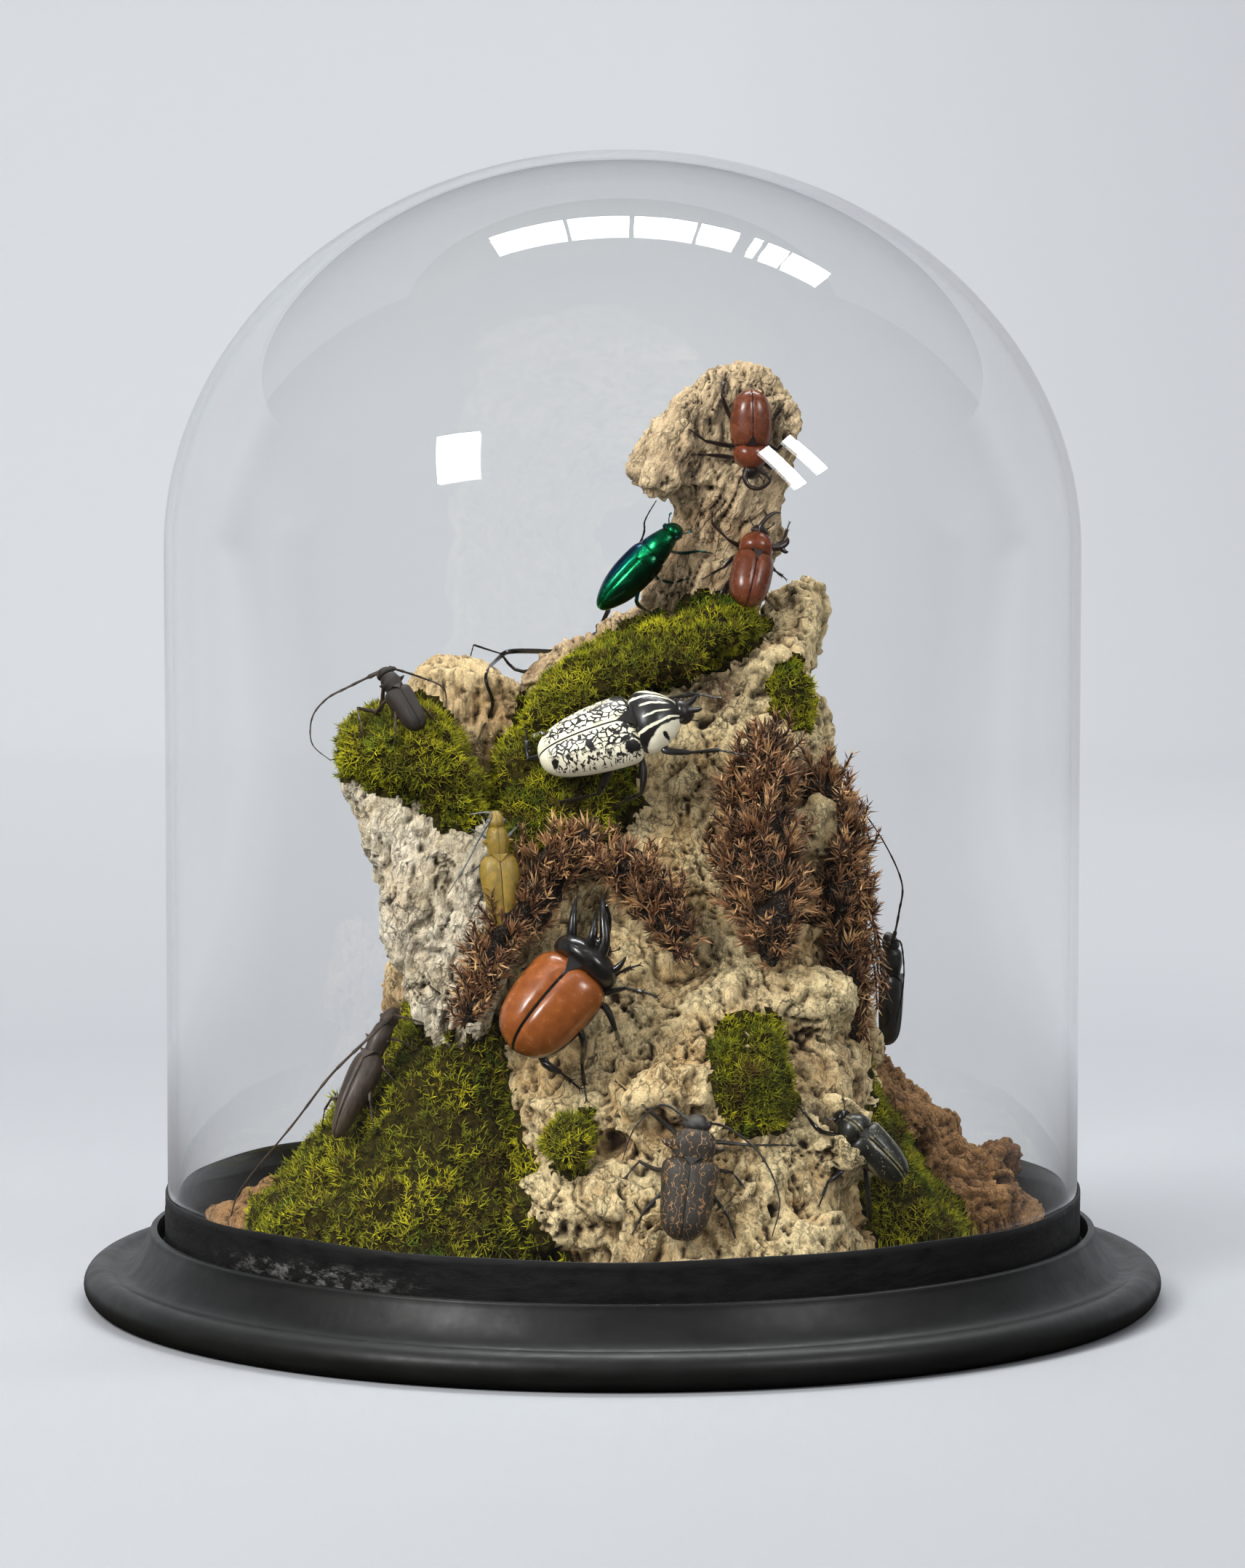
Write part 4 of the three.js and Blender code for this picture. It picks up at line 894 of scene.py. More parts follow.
# The beetles. Elytra, pronotum and head as width, height and, for the elytra, the depth below the edge; legs as
# (hip, side, places seen from the front) or (hip, side, along, out).
beetles = {
    "rhinoceros_beetle_upper": {
        "tail": (55, 398), "nose": (55, 359), "out": (0.1, -1, 0.1),
        "form": "rhino", "slot": "rhinoceros_brown",
        "elytra": (18, 8.5, 3.5), "pronotum": (15.5, 7.5), "head": (7, 4), "legThick": 2.0,
        "legs": [("hind", -1, (46, 388), (43, 396), (45, 405)), ("middle", -1, (46, 374), (36, 376), (29, 381)),
                 ("front", -1, (46, 369), (37, 370), (30, 370)), ("middle", 1, (67, 372), (73, 379)),
                 ("front", 1, (64, 364), (71, 366)), ("hind", 1, (66, 386), (70, 392))],
    },
    "rhinoceros_beetle_lower": {
        "tail": (52, 303), "nose": (59, 338), "out": (0.15, -1, 0.1),
        "form": "rhino", "slot": "rhinoceros_brown",
        "elytra": (18, 8.5, 3.5), "pronotum": (15, 7.5), "head": (7, 4), "legThick": 2.0,
        "legs": [("front", 1, (52, 330), (46, 333), (39, 340), (39, 345)), ("middle", 1, (48, 325), (44, 321), (35, 316)),
                 ("hind", 1, (45, 312), (42, 308), (36, 301)), ("front", -1, (65, 329), (70, 332), (73, 340)),
                 ("middle", -1, (66, 320), (71, 316)), ("hind", -1, (62, 308), (67, 302))],
    },
    "jewel_beetle": {
        "tail": (-9, 302), "nose": (26, 338), "out": (-0.35, -1, 0.35), "depths": (-16, -14),
        "form": "jewel", "slot": "jewel_green",
        "elytra": (17, 7.5, 3.5), "pronotum": (14.5, 6), "head": (9, 4.5), "legThick": 1.5,
        "legs": [("front", -1, (26, 327), (33, 328), (39, 327)), ("middle", -1, (15, 316), (22, 314), (29, 316)),
                 ("hind", -1, (6, 307), (10, 302), (16, 300)), ("front", 1, 8, 11), ("middle", 1, -8, 12)],
    },
    "goliath_beetle": {
        "tail": (-34, 239), "nose": (31, 261), "out": (-0.15, -0.85, 0.55), "depths": (-74, -74),
        "form": "goliath", "slot": "goliath_cream",
        "elytra": (32, 12.5, 5), "pronotum": (29, 12.5), "head": (11, 6), "legThick": 3.0,
        "legs": [("front", 1, (13, 267), (18, 268), (32, 270), (41, 268)),
                 ("front", -1, (18, 247), (28, 246), (40, 247), (54, 244)),
                 ("middle", -1, (9, 238), (8, 229), (-3, 222)), ("hind", -1, (-10, 228), (-37, 221)),
                 ("hind", 1, (-32, 244), (-40, 242), (-41, 253)), ("middle", 1, -6, 22)],
    },
    "five_horned_beetle": {
        "tail": (-44, 124), "nose": (-6, 168), "out": (-0.3, -1, 0.3), "depths": (-136, -122),
        "form": "fiveHorned", "slot": "five_horned_orange",
        "elytra": (35, 14.5, 5.5), "pronotum": (31, 14), "head": (12, 6), "legThick": 3.0,
        "legs": [("front", -1, (-8, 150), (1, 152), (14, 148)), ("front", -1, (-2, 158), (7, 161)),
                 ("middle", -1, (-7, 144), (-3, 135), (-1, 125)), ("hind", -1, (-16, 130), (-17, 118), (-15, 104)),
                 ("hind", 1, (-34, 120), (-26, 114), (-18, 108)), ("middle", 1, -8, 26)],
    },
    "harlequin_beetle": {
        "tail": (24, 51), "nose": (31, 101), "out": (0, -0.9, 0.45), "depths": (-171, -155),
        "form": "harlequin", "slot": "harlequin_grey",
        "elytra": (23.5, 8.5, 3.5), "pronotum": (21, 8.5), "head": (11, 6.5), "legThick": 2.2,
        "legs": [("front", 1, (21, 93), (10, 103), (-3, 112)), ("front", -1, (38, 89), (53, 88), (72, 86)),
                 ("middle", 1, (15, 78), (7, 81), (1, 75)), ("middle", -1, (36, 78), (45, 77), (52, 69)),
                 ("hind", 1, (16, 69), (9, 63), (4, 54)), ("hind", -1, (36, 69), (43, 61), (46, 52))],
        "antennae": [[(16, -158, 106), (5, -162, 97), (0, -166, 84)],
                     [(44, -158, 96), (57, -161, 85), (64, -166, 68), (61, -168, 53)]],
    },
    "flower_beetle": {
        "tail": (112, 65), "nose": (84, 93), "out": (0.1, -0.9, 0.45), "depths": (-112, -110), "clear": 0.62,
        "form": "flower", "slot": "flower_black",
        "elytra": (18, 7.5, 3.5), "pronotum": (15.5, 7), "head": (7, 4), "legThick": 2.0,
        "legs": [("front", 1, (82, 92), (77, 97), (73, 101)), ("middle", 1, (90, 75), (85, 71), (81, 62)),
                 ("hind", 1, (102, 62), (102, 55), (99, 47)), ("front", -1, 8, 13), ("middle", -1, -4, 15),
                 ("hind", -1, -18, 14)],
    },
    "yellow_longhorn": {
        "tail": (-50, 171), "nose": (-54, 222), "out": (0.15, -1, 0.1), "depths": (-104, -96),
        "form": "leafy", "slot": "longhorn_yellow",
        "elytra": (16.5, 6, 3), "pronotum": (10.5, 5), "head": (7.5, 4.5), "legThick": 1.5, "feelerThick": 1.3,
        "legs": [("front", 1, 12, 10), ("front", -1, 12, 12), ("middle", 1, -8, 13), ("middle", -1, -6, 13),
                 ("hind", 1, -26, 12), ("hind", -1, -24, 13)],
        "antennae": [[(-60, -104, 211), (-65, -105, 201), (-73, -106, 188)], [(-56, -103, 222), (-64, -101, 221)]],
    },
    "brown_longhorn": {
        "tail": (-118, 84), "nose": (-94, 137), "out": (-0.5, -0.85, 0.3), "depths": (-112, -92),
        "form": "leafy", "slot": "longhorn_brown",
        "elytra": (14, 6.5, 3), "pronotum": (10, 5.5), "head": (7.5, 4.5), "legThick": 1.7, "feelerThick": 1.4,
        "legs": [("middle", 1, (-111, 105), (-122, 101), (-125, 96), (-128, 83)), ("front", 1, 10, 12),
                 ("front", -1, 8, 13),
                 ("middle", -1, -10, 14), ("hind", 1, -34, 13), ("hind", -1, -32, 14)],
        "antennae": [[(-108, -114, 126), (-122, -116, 112), (-137, -116, 92), (-158, -110, 65), (-164, -98, 50)],
                     [(-84, -108, 134)]],
    },
    "dark_longhorn": {
        "tail": (-86, 251), "nose": (-103, 276), "out": (0.1, -0.8, 0.6), "depths": (-84, -70),
        "form": "longhorn", "slot": "longhorn_dark",
        "elytra": (12, 6, 3), "pronotum": (9.5, 5.5), "head": (7.5, 5), "legThick": 1.8, "feelerThick": 1.1,
        "legs": [("front", 1, (-103, 263), (-112, 264), (-110, 255)), ("front", -1, 12, 9), ("middle", 1, -4, 13),
                 ("middle", -1, -4, 12), ("hind", 1, -20, 11), ("hind", -1, -20, 11)],
        "antennae": [[(-116, -78, 273), (-125, -78, 268), (-131, -78, 260), (-131, -78, 249), (-123, -80, 242)],
                     [(-86, -71, 277), (-76, -68, 272), (-75, -66, 263)]],
    },
    "black_longhorn_right": {
        "tail": (112, 112), "nose": (113, 162), "out": (1, -0.5, 0.15), "depths": (-10, -14),
        "form": "longhorn", "slot": "longhorn_black",
        "elytra": (15, 6.5, 3), "pronotum": (11, 6), "head": (8, 5), "legThick": 1.6, "feelerThick": 1.0,
        "legs": [("front", 1, 12, 10), ("front", -1, 12, 12), ("middle", 1, -8, 13), ("middle", -1, -6, 13),
                 ("hind", 1, -26, 12), ("hind", -1, -24, 13)],
        "antennae": [[(120, -28, 172), (121, -30, 185), (113, -34, 203), (101, -38, 220), (89, -42, 231)],
                     [(121, -28, 158), (122, -30, 142), (118, -34, 122)]],
    },
    "black_longhorn_rear": {
        "tail": (-27, 254), "nose": (-3, 294), "out": (-0.1, 1, 0.2), "behind": True,
        "form": "longhorn", "slot": "longhorn_black",
        "elytra": (15, 7, 3), "pronotum": (12, 6.5), "head": (9, 5.5), "legThick": 1.8, "feelerThick": 1.3,
        "legs": [("middle", -1, (-44, 273), (-54, 281), (-66, 285), (-68, 277)), ("front", 1, 12, 9), ("front", -1, 6, 9),
                 ("middle", 1, -6, 18), ("hind", 1, -30, 15), ("hind", -1, -30, 15)],
        "antennae": [[(8, 34, 330), (10, 30, 340), (15, 26, 349)]],
        "over": [(-46, 284), (-54, 281), (-59, 275), (-56, 263), (-60, 253), (-65, 241)],
    },
}
for spec in beetles.values():
    for part in ("elytra", "pronotum", "head"):
        spec[part] = dict(zip(("wide", "high", "low"), spec[part]))
    seat(spec)


# Beetle finishes. Each pattern reads the place on the beetle, "local", in millimetres: X to the head, Y to its left.
def shellMaterial(name, dark, light, rough=0.28, coat=0.5, metallic=0.0, punctures=0.3, size=1.6, bump=0.08, pattern=None,
                  spec=None, dust=0.0):
    material, net, shader, where = newMaterial(name, Metallic=metallic, Coat_Weight=coat, Coat_Roughness=0.12)
    local = net.attribute("local", "Vector")
    made = net.add("ShaderNodeGroup", {"Where": local, "Punctures": punctures, "Size": size}, node_tree=chitinTree)
    color = net.mixed(net.span(made.outputs["Tone"], 0.32, 0.68), rgba(*dark), rgba(*light))
    if pattern:
        color = pattern(net, local, color, spec)
    color = net.laid(color, made.outputs["Dust"], dust, rgba(150, 140, 124))
    net.give(shader.inputs["Base Color"], color)
    net.give(shader.inputs["Roughness"], net.span(made.outputs["Tone"], 0.3, 0.7, rough * 0.85, rough * 1.2))
    bumped(net, shader, made.outputs["Height"], bump * mm)
    return material


def spot(net, local, middle, radius, soft=0.25):  # 1 inside a round patch at a place, mirrored in Y
    x, y, z = net.parts(local)
    flat = net.joined(x, net.absolute(y))
    wobble = net.times(net.minus(net.noise(local, 0.5, 3), 0.5), radius * 0.9)
    away = net.vector("DISTANCE", flat, (*middle, 0), "Value")
    return net.span(net.plus(away, wobble), radius, radius * (1 - soft))


def sutureAndEdge(net, local, color, spec, dark, seam, rim):  # dark line down the middle and along the margin
    x, y, z = net.parts(local)
    middle = net.span(net.absolute(y), seam, seam * 0.5)
    margin = net.span(z, spec["elytra"]["low"] + rim, spec["elytra"]["low"] + rim * 0.35)
    return net.mixed(net.most(middle, margin), color, rgba(*dark))


def rhinoCase(net, local, color, spec):
    return sutureAndEdge(net, local, color, spec, (52, 18, 12), 0.35, 1.4)


def fiveHornedCase(net, local, color, spec):
    return sutureAndEdge(net, local, color, spec, (14, 9, 7), 0.95, 1.0)


def jewelCase(net, local, color, spec):  # emerald, turning blue and violet towards the left margin
    x, y, z = net.parts(local)
    side = net.over(y, spec["elytra"]["wide"] / 2)
    side = net.plus(side, net.times(net.minus(net.noise(net.stretch(local, (0.3, 2.5, 1)), 0.5, 3), 0.5), 0.3))
    bands = [(0.0, (3, 40, 30)), (0.3, (4, 84, 50)), (0.5, (10, 140, 84)), (0.68, (8, 104, 96)), (0.82, (16, 54, 120)),
             (1.0, (40, 26, 96))]
    tinted = net.ramp(net.span(side, -1, 1), *[(at, rgb(*tone)) for at, tone in bands])
    return net.laid(tinted, net.span(net.calc("SINE", net.times(y, 5.2)), 0.4, 1), 0.3, rgba(3, 40, 36))


def shiftedPlace(net, local, size, amount):  # the place moved about by soft noise
    return net.vector("ADD", local, net.moved(local, size, 2.0, amount))


def goliathCase(net, local, color, spec):  # black network on cream, with bars towards the side and a plain rim
    long, wide = spec["long"], spec["elytra"]["wide"]
    x, y, z = net.parts(local)
    moved = shiftedPlace(net, local, 0.35, 3)
    back = net.span(x, -0.64 * long, -0.2 * long, 0.5, 1)
    side = net.over(net.absolute(y), net.times(back, wide / 2))
    edge = net.cells(net.stretch(moved, (0.85, 1.2, 0.35)), 0.37, "DISTANCE_TO_EDGE")
    bars = net.cells(net.stretch(moved, (1.3, 0.34, 0.3)), 0.44, "DISTANCE_TO_EDGE")
    share = net.span(side, 0.6, 0.78)
    thick = net.span(net.noise(local, 0.2, 2), 0.35, 0.65, 0.09, 0.19)
    network = net.span(net.over(edge, thick), 1.0, 0.8)
    across = net.span(net.over(bars, net.times(thick, 0.8)), 1.0, 0.8)
    across = net.times(across, net.span(net.noise(local, 0.55, 2), 0.40, 0.5))
    lines = net.plus(net.times(network, net.minus(1.0, share)), net.times(across, share))
    low, high = spec["elytra"]["low"], spec["elytra"]["high"]
    ends = (z, low + 0.12 * high, low + 0.2 * high), (side, 0.07, 0.12), (x, -0.61 * long, -0.57 * long)
    for limit in ends:
        lines = net.times(lines, net.span(*limit))
    shoulder = spot(net, net.stretch(local, (0.7, 1, 1)), (-0.06 * long, 0.38 * wide), 2.5, 0.15)
    tip = spot(net, local, (-0.57 * long, 0.24 * wide), 1.7, 0.2)
    for mark in (shoulder, tip, net.span(net.absolute(y), 0.5, 0.3), net.span(z, low * 0.75, low * 0.6)):
        lines = net.most(lines, mark)
    return net.mixed(lines, color, rgba(14, 12, 10))


def goliathFore(net, local, color, spec):  # black with thin cream stripes and cream sides, each with a black dot
    long, half = spec["long"], spec["pronotum"]["wide"] / 2
    x, y, z = net.parts(local)
    u = net.span(x, -0.04 * long, 0.255 * long)
    shape = net.minus(1.0, net.times(net.calc("POWER", u, 1.8), 0.62))
    side = net.over(net.absolute(y), net.times(shape, half))
    side = net.plus(side, net.times(net.minus(net.noise(local, 0.25, 2), 0.5), 0.16))
    outer = net.span(net.absolute(net.minus(side, 0.56)), 0.06, 0.035)
    inner = net.span(net.absolute(net.minus(side, 0.20)), 0.05, 0.03)
    inner = net.times(inner, net.times(net.span(u, 0.22, 0.3), net.span(u, 0.85, 0.75)))
    margin = net.span(net.minus(side, net.span(u, 0.1, 0.5, 0.98, 0.72)), -0.02, 0.02)
    margin = net.times(margin, net.span(u, 0.0, 0.1))
    pale = net.most(net.most(outer, inner), margin)
    dot = spot(net, local, (0.13 * long, half * 0.76), 1.2)
    return net.mixed(net.most(net.minus(1.0, pale), dot), color, rgba(16, 15, 14))


def wavyLines(net, local, count, swing, thin):  # lines that wind along the body
    x, y, z = net.parts(shiftedPlace(net, local, 0.28, swing))
    across = net.times(net.absolute(y), count)
    return net.span(net.absolute(net.calc("SINE", across)), thin, thin * 0.4)


def harlequinCase(net, local, color, spec):  # orange-buff lines winding over dark grey
    lines = wavyLines(net, net.stretch(local, (0.9, 1, 1)), 0.85, 12, 0.26)
    lines = net.times(lines, net.span(net.noise(local, 0.45, 3), 0.36, 0.46))
    veil = net.times(net.span(net.noise(local, 1.4, 4, 0.7), 0.5, 0.7), 0.3)
    return net.laid(net.mixed(veil, color, rgba(104, 94, 76)), lines, 0.85, rgba(160, 118, 70))


def flowerCase(net, local, color, spec):  # a pale rim and ribs, with cream flecks towards the rear
    x, y, z = net.parts(local)
    side = net.over(net.absolute(y), spec["elytra"]["wide"] / 2)
    rib = net.span(net.absolute(net.minus(side, 0.86)), 0.06, 0.03)
    rib = net.most(rib, net.span(net.absolute(net.minus(side, 0.09)), 0.05, 0.02))
    rib = net.times(rib, net.span(net.noise(local, 0.5, 3), 0.36, 0.5))
    flecks = net.span(net.cells(net.stretch(local, (0.8, 1, 0.6)), 0.95), 0.26, 0.16)
    flecks = net.times(flecks, net.span(net.noise(local, 0.35, 2), 0.44, 0.54))
    marks = net.most(net.times(rib, 0.4), net.times(flecks, 0.8))
    return net.mixed(marks, color, rgba(176, 164, 116))


def yellowCase(net, local, color, spec):
    down = net.span(net.noise(net.stretch(local, (0.5, 1.5, 1)), 1.2, 5, 0.7), 0.46, 0.7)
    color = net.laid(color, down, 0.65, rgba(92, 76, 30))
    return sutureAndEdge(net, local, color, spec, (82, 66, 24), 0.22, 0.5)


def brownCase(net, local, color, spec):  # worn down in streaks, greyer towards the tail
    streak = net.span(net.noise(net.stretch(local, (0.25, 1.6, 1)), 1.0, 5, 0.7), 0.48, 0.66)
    tail = net.span(net.parts(local)[0], -0.42 * spec["long"], -0.62 * spec["long"])
    return net.laid(net.laid(color, streak, 0.4, rgba(84, 62, 42)), tail, 0.25, rgba(90, 78, 52))


chestnutLeg = shellMaterial("chestnut legs", (18, 10, 8), (40, 20, 14), 0.32, 0.4)
chestnutFore = shellMaterial("chestnut forebody", (82, 38, 20), (110, 52, 28), 0.24, 0.5, punctures=0.2)
blackShell = shellMaterial("black shell", (9, 8, 8), (20, 18, 17), 0.22, 0.6, dust=0.15)
goliathLeg = shellMaterial("goliath legs", (12, 11, 10), (30, 27, 24), 0.3, 0.4, dust=0.2)
dullBlack = shellMaterial("dull black", (20, 18, 16), (44, 39, 33), 0.5, 0.15, dust=0.4)
greyLeg = shellMaterial("grey-blue legs", (58, 62, 62), (108, 108, 100), 0.5, 0.1, dust=0.3)
brownLeg = shellMaterial("brown legs", (34, 24, 17), (66, 48, 34), 0.5, 0.1, dust=0.3)


def rhinoFinish(spec):
    case = shellMaterial("chestnut wing cases", (80, 38, 21), (106, 54, 31), 0.26, 0.5, punctures=0.2, pattern=rhinoCase,
                         spec=spec)
    return [case, chestnutFore, chestnutLeg, chestnutLeg]


def jewelFinish(spec):
    case = shellMaterial("emerald wing cases", (8, 96, 74), (12, 140, 96), 0.24, 0.4, 1.0, 0.7, 2.2, 0.1, jewelCase, spec)
    fore = shellMaterial("emerald forebody", (6, 84, 50), (12, 124, 76), 0.25, 0.4, 1.0, 1.0, 2.0, 0.12, jewelCase, spec)
    return [case, fore, shellMaterial("emerald legs", (10, 50, 60), (16, 90, 80), 0.3, 0.3, 0.9), fore]


def goliathFinish(spec):
    cream = (222, 214, 184), (238, 232, 208)
    case = shellMaterial("cream wing cases", *cream, 0.42, 0.25, punctures=0.1, pattern=goliathCase, spec=spec)
    fore = shellMaterial("striped forebody", *cream, 0.4, 0.25, punctures=0.1, pattern=goliathFore, spec=spec)
    return [case, fore, goliathLeg, goliathLeg]


def fiveHornedFinish(spec):
    case = shellMaterial("orange wing cases", (112, 56, 17), (136, 74, 27), 0.24, 0.55, punctures=0.12,
                         pattern=fiveHornedCase, spec=spec)
    return [case, blackShell, blackShell, blackShell]


def harlequinFinish(spec):
    case = shellMaterial("harlequin wing cases", (24, 20, 14), (42, 34, 24), 0.6, 0.05, punctures=0.8, size=2.4,
                         bump=0.15,
                         pattern=harlequinCase, spec=spec)
    return [case, case, dullBlack, dullBlack]


def flowerFinish(spec):
    case = shellMaterial("flecked wing cases", (14, 15, 13), (30, 31, 26), 0.35, 0.4, pattern=flowerCase, spec=spec)
    return [case, case, blackShell, blackShell]


def longhornFinish(dark, light, legs, pattern=None, rough=0.5, coat=0.1):
    def made(spec):
        case = shellMaterial(spec["slot"] + " wing cases", dark, light, rough, coat, punctures=0.8, size=2.2, bump=0.12,
                             pattern=pattern, spec=spec, dust=0.06)
        return [case, case, legs, case]
    return made


blackLonghorn = longhornFinish((12, 12, 12), (34, 33, 30), blackShell, None, 0.35, 0.3)
beetleFinish = {
    "rhinoceros_beetle_upper": rhinoFinish, "rhinoceros_beetle_lower": rhinoFinish, "jewel_beetle": jewelFinish,
    "goliath_beetle": goliathFinish, "five_horned_beetle": fiveHornedFinish, "harlequin_beetle": harlequinFinish,
    "flower_beetle": flowerFinish, "yellow_longhorn": longhornFinish((112, 90, 18), (148, 118, 24), greyLeg, yellowCase),
    "brown_longhorn": longhornFinish((28, 19, 11), (52, 36, 22), brownLeg, brownCase),
    "dark_longhorn": longhornFinish((20, 14, 8), (40, 28, 16), brownLeg, None, 0.65, 0.0),
    "black_longhorn_right": blackLonghorn, "black_longhorn_rear": blackLonghorn,
}


# Outlines as (place, width, height), from 0 at the front of the elytra and the back of the rest, to 1 at the other end.
outlines = {
    "scarab": [(0, .80, .70), (.06, .92, .85), (.2, .99, .97), (.4, 1, 1), (.6, .96, 1), (.76, .85, .92),
               (.88, .66, .74), (.96, .4, .46), (1, .1, .1)],
    "horned": [(0, .72, .66), (.05, .88, .82), (.15, .98, .94), (.32, 1, 1), (.55, .97, 1), (.75, .86, .9),
               (.88, .67, .7), (.96, .41, .42), (1, .1, .1)],
    "goliath": [(0, .80, .66), (.05, .96, .84), (.12, 1, .93), (.3, .97, 1), (.55, .88, .98), (.78, .72, .84),
                (.91, .54, .62), (.98, .32, .36), (1, .1, .1)],
    "jewel": [(0, .88, .8), (.08, .97, .95), (.25, 1, 1), (.45, .97, 1), (.65, .84, .93), (.82, .6, .74), (.93, .38, .5),
              (.98, .22, .28), (1, .06, .1)],
    "longhorn": [(0, .86, .72), (.05, .98, .9), (.15, 1, 1), (.4, .93, 1), (.65, .86, .95), (.83, .74, .84),
                 (.93, .55, .62), (.98, .33, .38), (1, .1, .1)],
    "leaf": [(0, .72, .7), (.06, .9, .88), (.2, 1, 1), (.42, .94, 1), (.65, .76, .9), (.82, .55, .72), (.93, .36, .5),
             (.98, .22, .3), (1, .06, .1)],
    "scarabFore": [(0, .5, .5), (.06, .88, .8), (.22, .99, .98), (.45, 1, 1.02), (.7, .86, .9), (.9, .58, .62),
                   (1, .22, .25)],
    "goliathFore": [(0, .6, .5), (.05, .88, .8), (.2, 1, .95), (.4, .98, 1), (.62, .82, .9), (.84, .56, .66),
                    (1, .3, .3)],
    "jewelFore": [(0, .6, .5), (.05, .98, .88), (.3, .93, 1), (.6, .78, .92), (.88, .6, .7), (1, .4, .4)],
    "longhornFore": [(0, .5, .5), (.06, .8, .82), (.3, .84, .95), (.48, 1, 1), (.62, .88, 1), (.85, .76, .9),
                     (1, .5, .5)],
    "head": [(0, .6, .5), (.2, .95, .9), (.45, 1, 1), (.7, .82, .82), (.92, .55, .45), (1, .2, .15)],
}
# For each form: the outlines of elytra and pronotum, and where the elytra begin, the pronotum ends and the head begins.
forms = {
    "rhino": ("scarab", "scarabFore", -0.035, 0.235, 0.20), "fiveHorned": ("horned", "scarabFore", 0.06, 0.27, 0.23),
    "flower": ("goliath", "goliathFore", 0.0, 0.25, 0.22), "goliath": ("goliath", "goliathFore", -0.03, 0.255, 0.225),
    "jewel": ("jewel", "jewelFore", -0.01, 0.25, 0.22), "longhorn": ("longhorn", "longhornFore", -0.035, 0.215, 0.175),
    "leafy": ("leaf", "longhornFore", -0.035, 0.215, 0.175),
    "harlequin": ("longhorn", "longhornFore", -0.035, 0.215, 0.175),
}


class Shape:  # gathers the points and faces of one piece, with a material slot for each face
    def __init__(self):
        self.points, self.faces, self.slots = [], [], []

    def take(self, points, faces, slot=0):
        start = len(self.points)
        self.points += [tuple(p) for p in points]
        self.faces += [tuple(start + i for i in face) for face in faces]
        self.slots += [slot] * len(faces)

    def rings(self, rings, slot=0):  # a skin over equal rings, with a fan at each end
        sides = len(rings[0])
        points = [tuple(p) for ring in rings for p in ring]
        faces = skinFaces(len(rings), sides)
        points += [tuple(np.mean(rings[0], axis=0)), tuple(np.mean(rings[-1], axis=0))]
        n = len(rings) * sides
        faces += [(n, (s + 1) % sides, s) for s in range(sides)]
        faces += [(n + 1, n - sides + s, n - sides + (s + 1) % sides) for s in range(sides)]
        self.take(points, faces, slot)

    def tube(self, line, radii, slot=0, sides=6, flat=1.0):
        line = [Vector(p) for p in line]
        radii = np.interp(np.linspace(0, 1, len(line)), np.linspace(0, 1, len(radii)), radii)
        rings, side = [], None
        for i, p in enumerate(line):
            along = (line[min(i + 1, len(line) - 1)] - line[max(i - 1, 0)]).normalized()
            if side is None:
                side = Vector((0.3, 0.5, 1)).cross(along)
                side = (side if side.length > 1e-3 else Vector((1, 0, 0)).cross(along)).normalized()
            side = (side - along * side.dot(along)).normalized()
            other = along.cross(side)
            r = float(radii[i])
            rings.append([p + side * r * math.cos(a) + other * r * flat * math.sin(a) for a in aroundOf(sides)])
        self.rings(rings, slot)

    def ball(self, middle, size, slot=0, around=10, rows=7):
        middle, size = Vector(middle), Vector(size)
        rings = []
        for b in np.linspace(-math.pi / 2, math.pi / 2, rows + 2)[1:-1]:
            x, y, z = size.x * math.cos(b), size.y * math.cos(b), size.z * math.sin(b)
            rings.append([middle + Vector((x * math.cos(a), y * math.sin(a), z)) for a in aroundOf(around)])
        self.rings(rings, slot)


def outlineAt(name, t):
    rows = np.array(outlines[name])
    at = rows[:, 0]
    dense = curveThrough(rows, 200)
    return np.interp(t, dense[:, 0], dense[:, 1]), np.interp(t, dense[:, 0], dense[:, 2])


def wingCase(shape, spec, side, name, slot):  # one half of the elytra, closed underneath
    long, e = spec["long"], spec["elytra"]
    front, rear = forms[spec["form"]][2] * long, -0.66 * long
    at = np.concatenate([np.linspace(0, 0.8, 18), 0.8 + 0.2 * np.sin(np.linspace(0, math.pi / 2, 11))[1:]])
    rings = []
    for t in at:
        w, h = outlineAt(name, t)
        x = front + (rear - front) * t
        half, high = e["wide"] / 2 * w, e["high"] * h
        ring = []
        for a in np.linspace(0, math.pi / 2, 15):
            y = half * math.sin(a) ** 0.92
            z = e["low"] + high * math.cos(a) ** 0.9
            z -= 0.03 * e["wide"] * math.exp(-((y / (0.022 * e["wide"])) ** 2))
            ring.append((x, side * (y + 0.12), z))
        under = (half * 0.985, 0.45), (half * 0.9, 0.55), (half * 0.4, 0.5), (0.12, 0.5)
        rings.append(ring + [(x, side * y, e["low"] * (1 - sunk * h)) for y, sunk in under])
    shape.rings(rings, slot)


def skinPart(shape, spec, name, back, front, part, slot, drop=0.0):  # a rounded part of the body, from back to front
    long, low, power = spec["long"], spec["elytra"]["low"], 0.95
    rings = []
    for t in 0.5 - 0.5 * np.cos(np.linspace(0.02, math.pi - 0.02, 18)):
        w, h = outlineAt(name, t)
        x = (back + (front - back) * t) * long
        ring = []
        for a in aroundOf(28):
            c, s = math.cos(a), math.sin(a)
            tall = part["high"] * h if s > 0 else low * 0.85 * h
            y = part["wide"] / 2 * w * math.copysign(abs(c) ** power, c)
            ring.append((x, y, low + tall * math.copysign(abs(s) ** power, s) - drop * t))
        rings.append(ring)
    shape.rings(rings, slot)


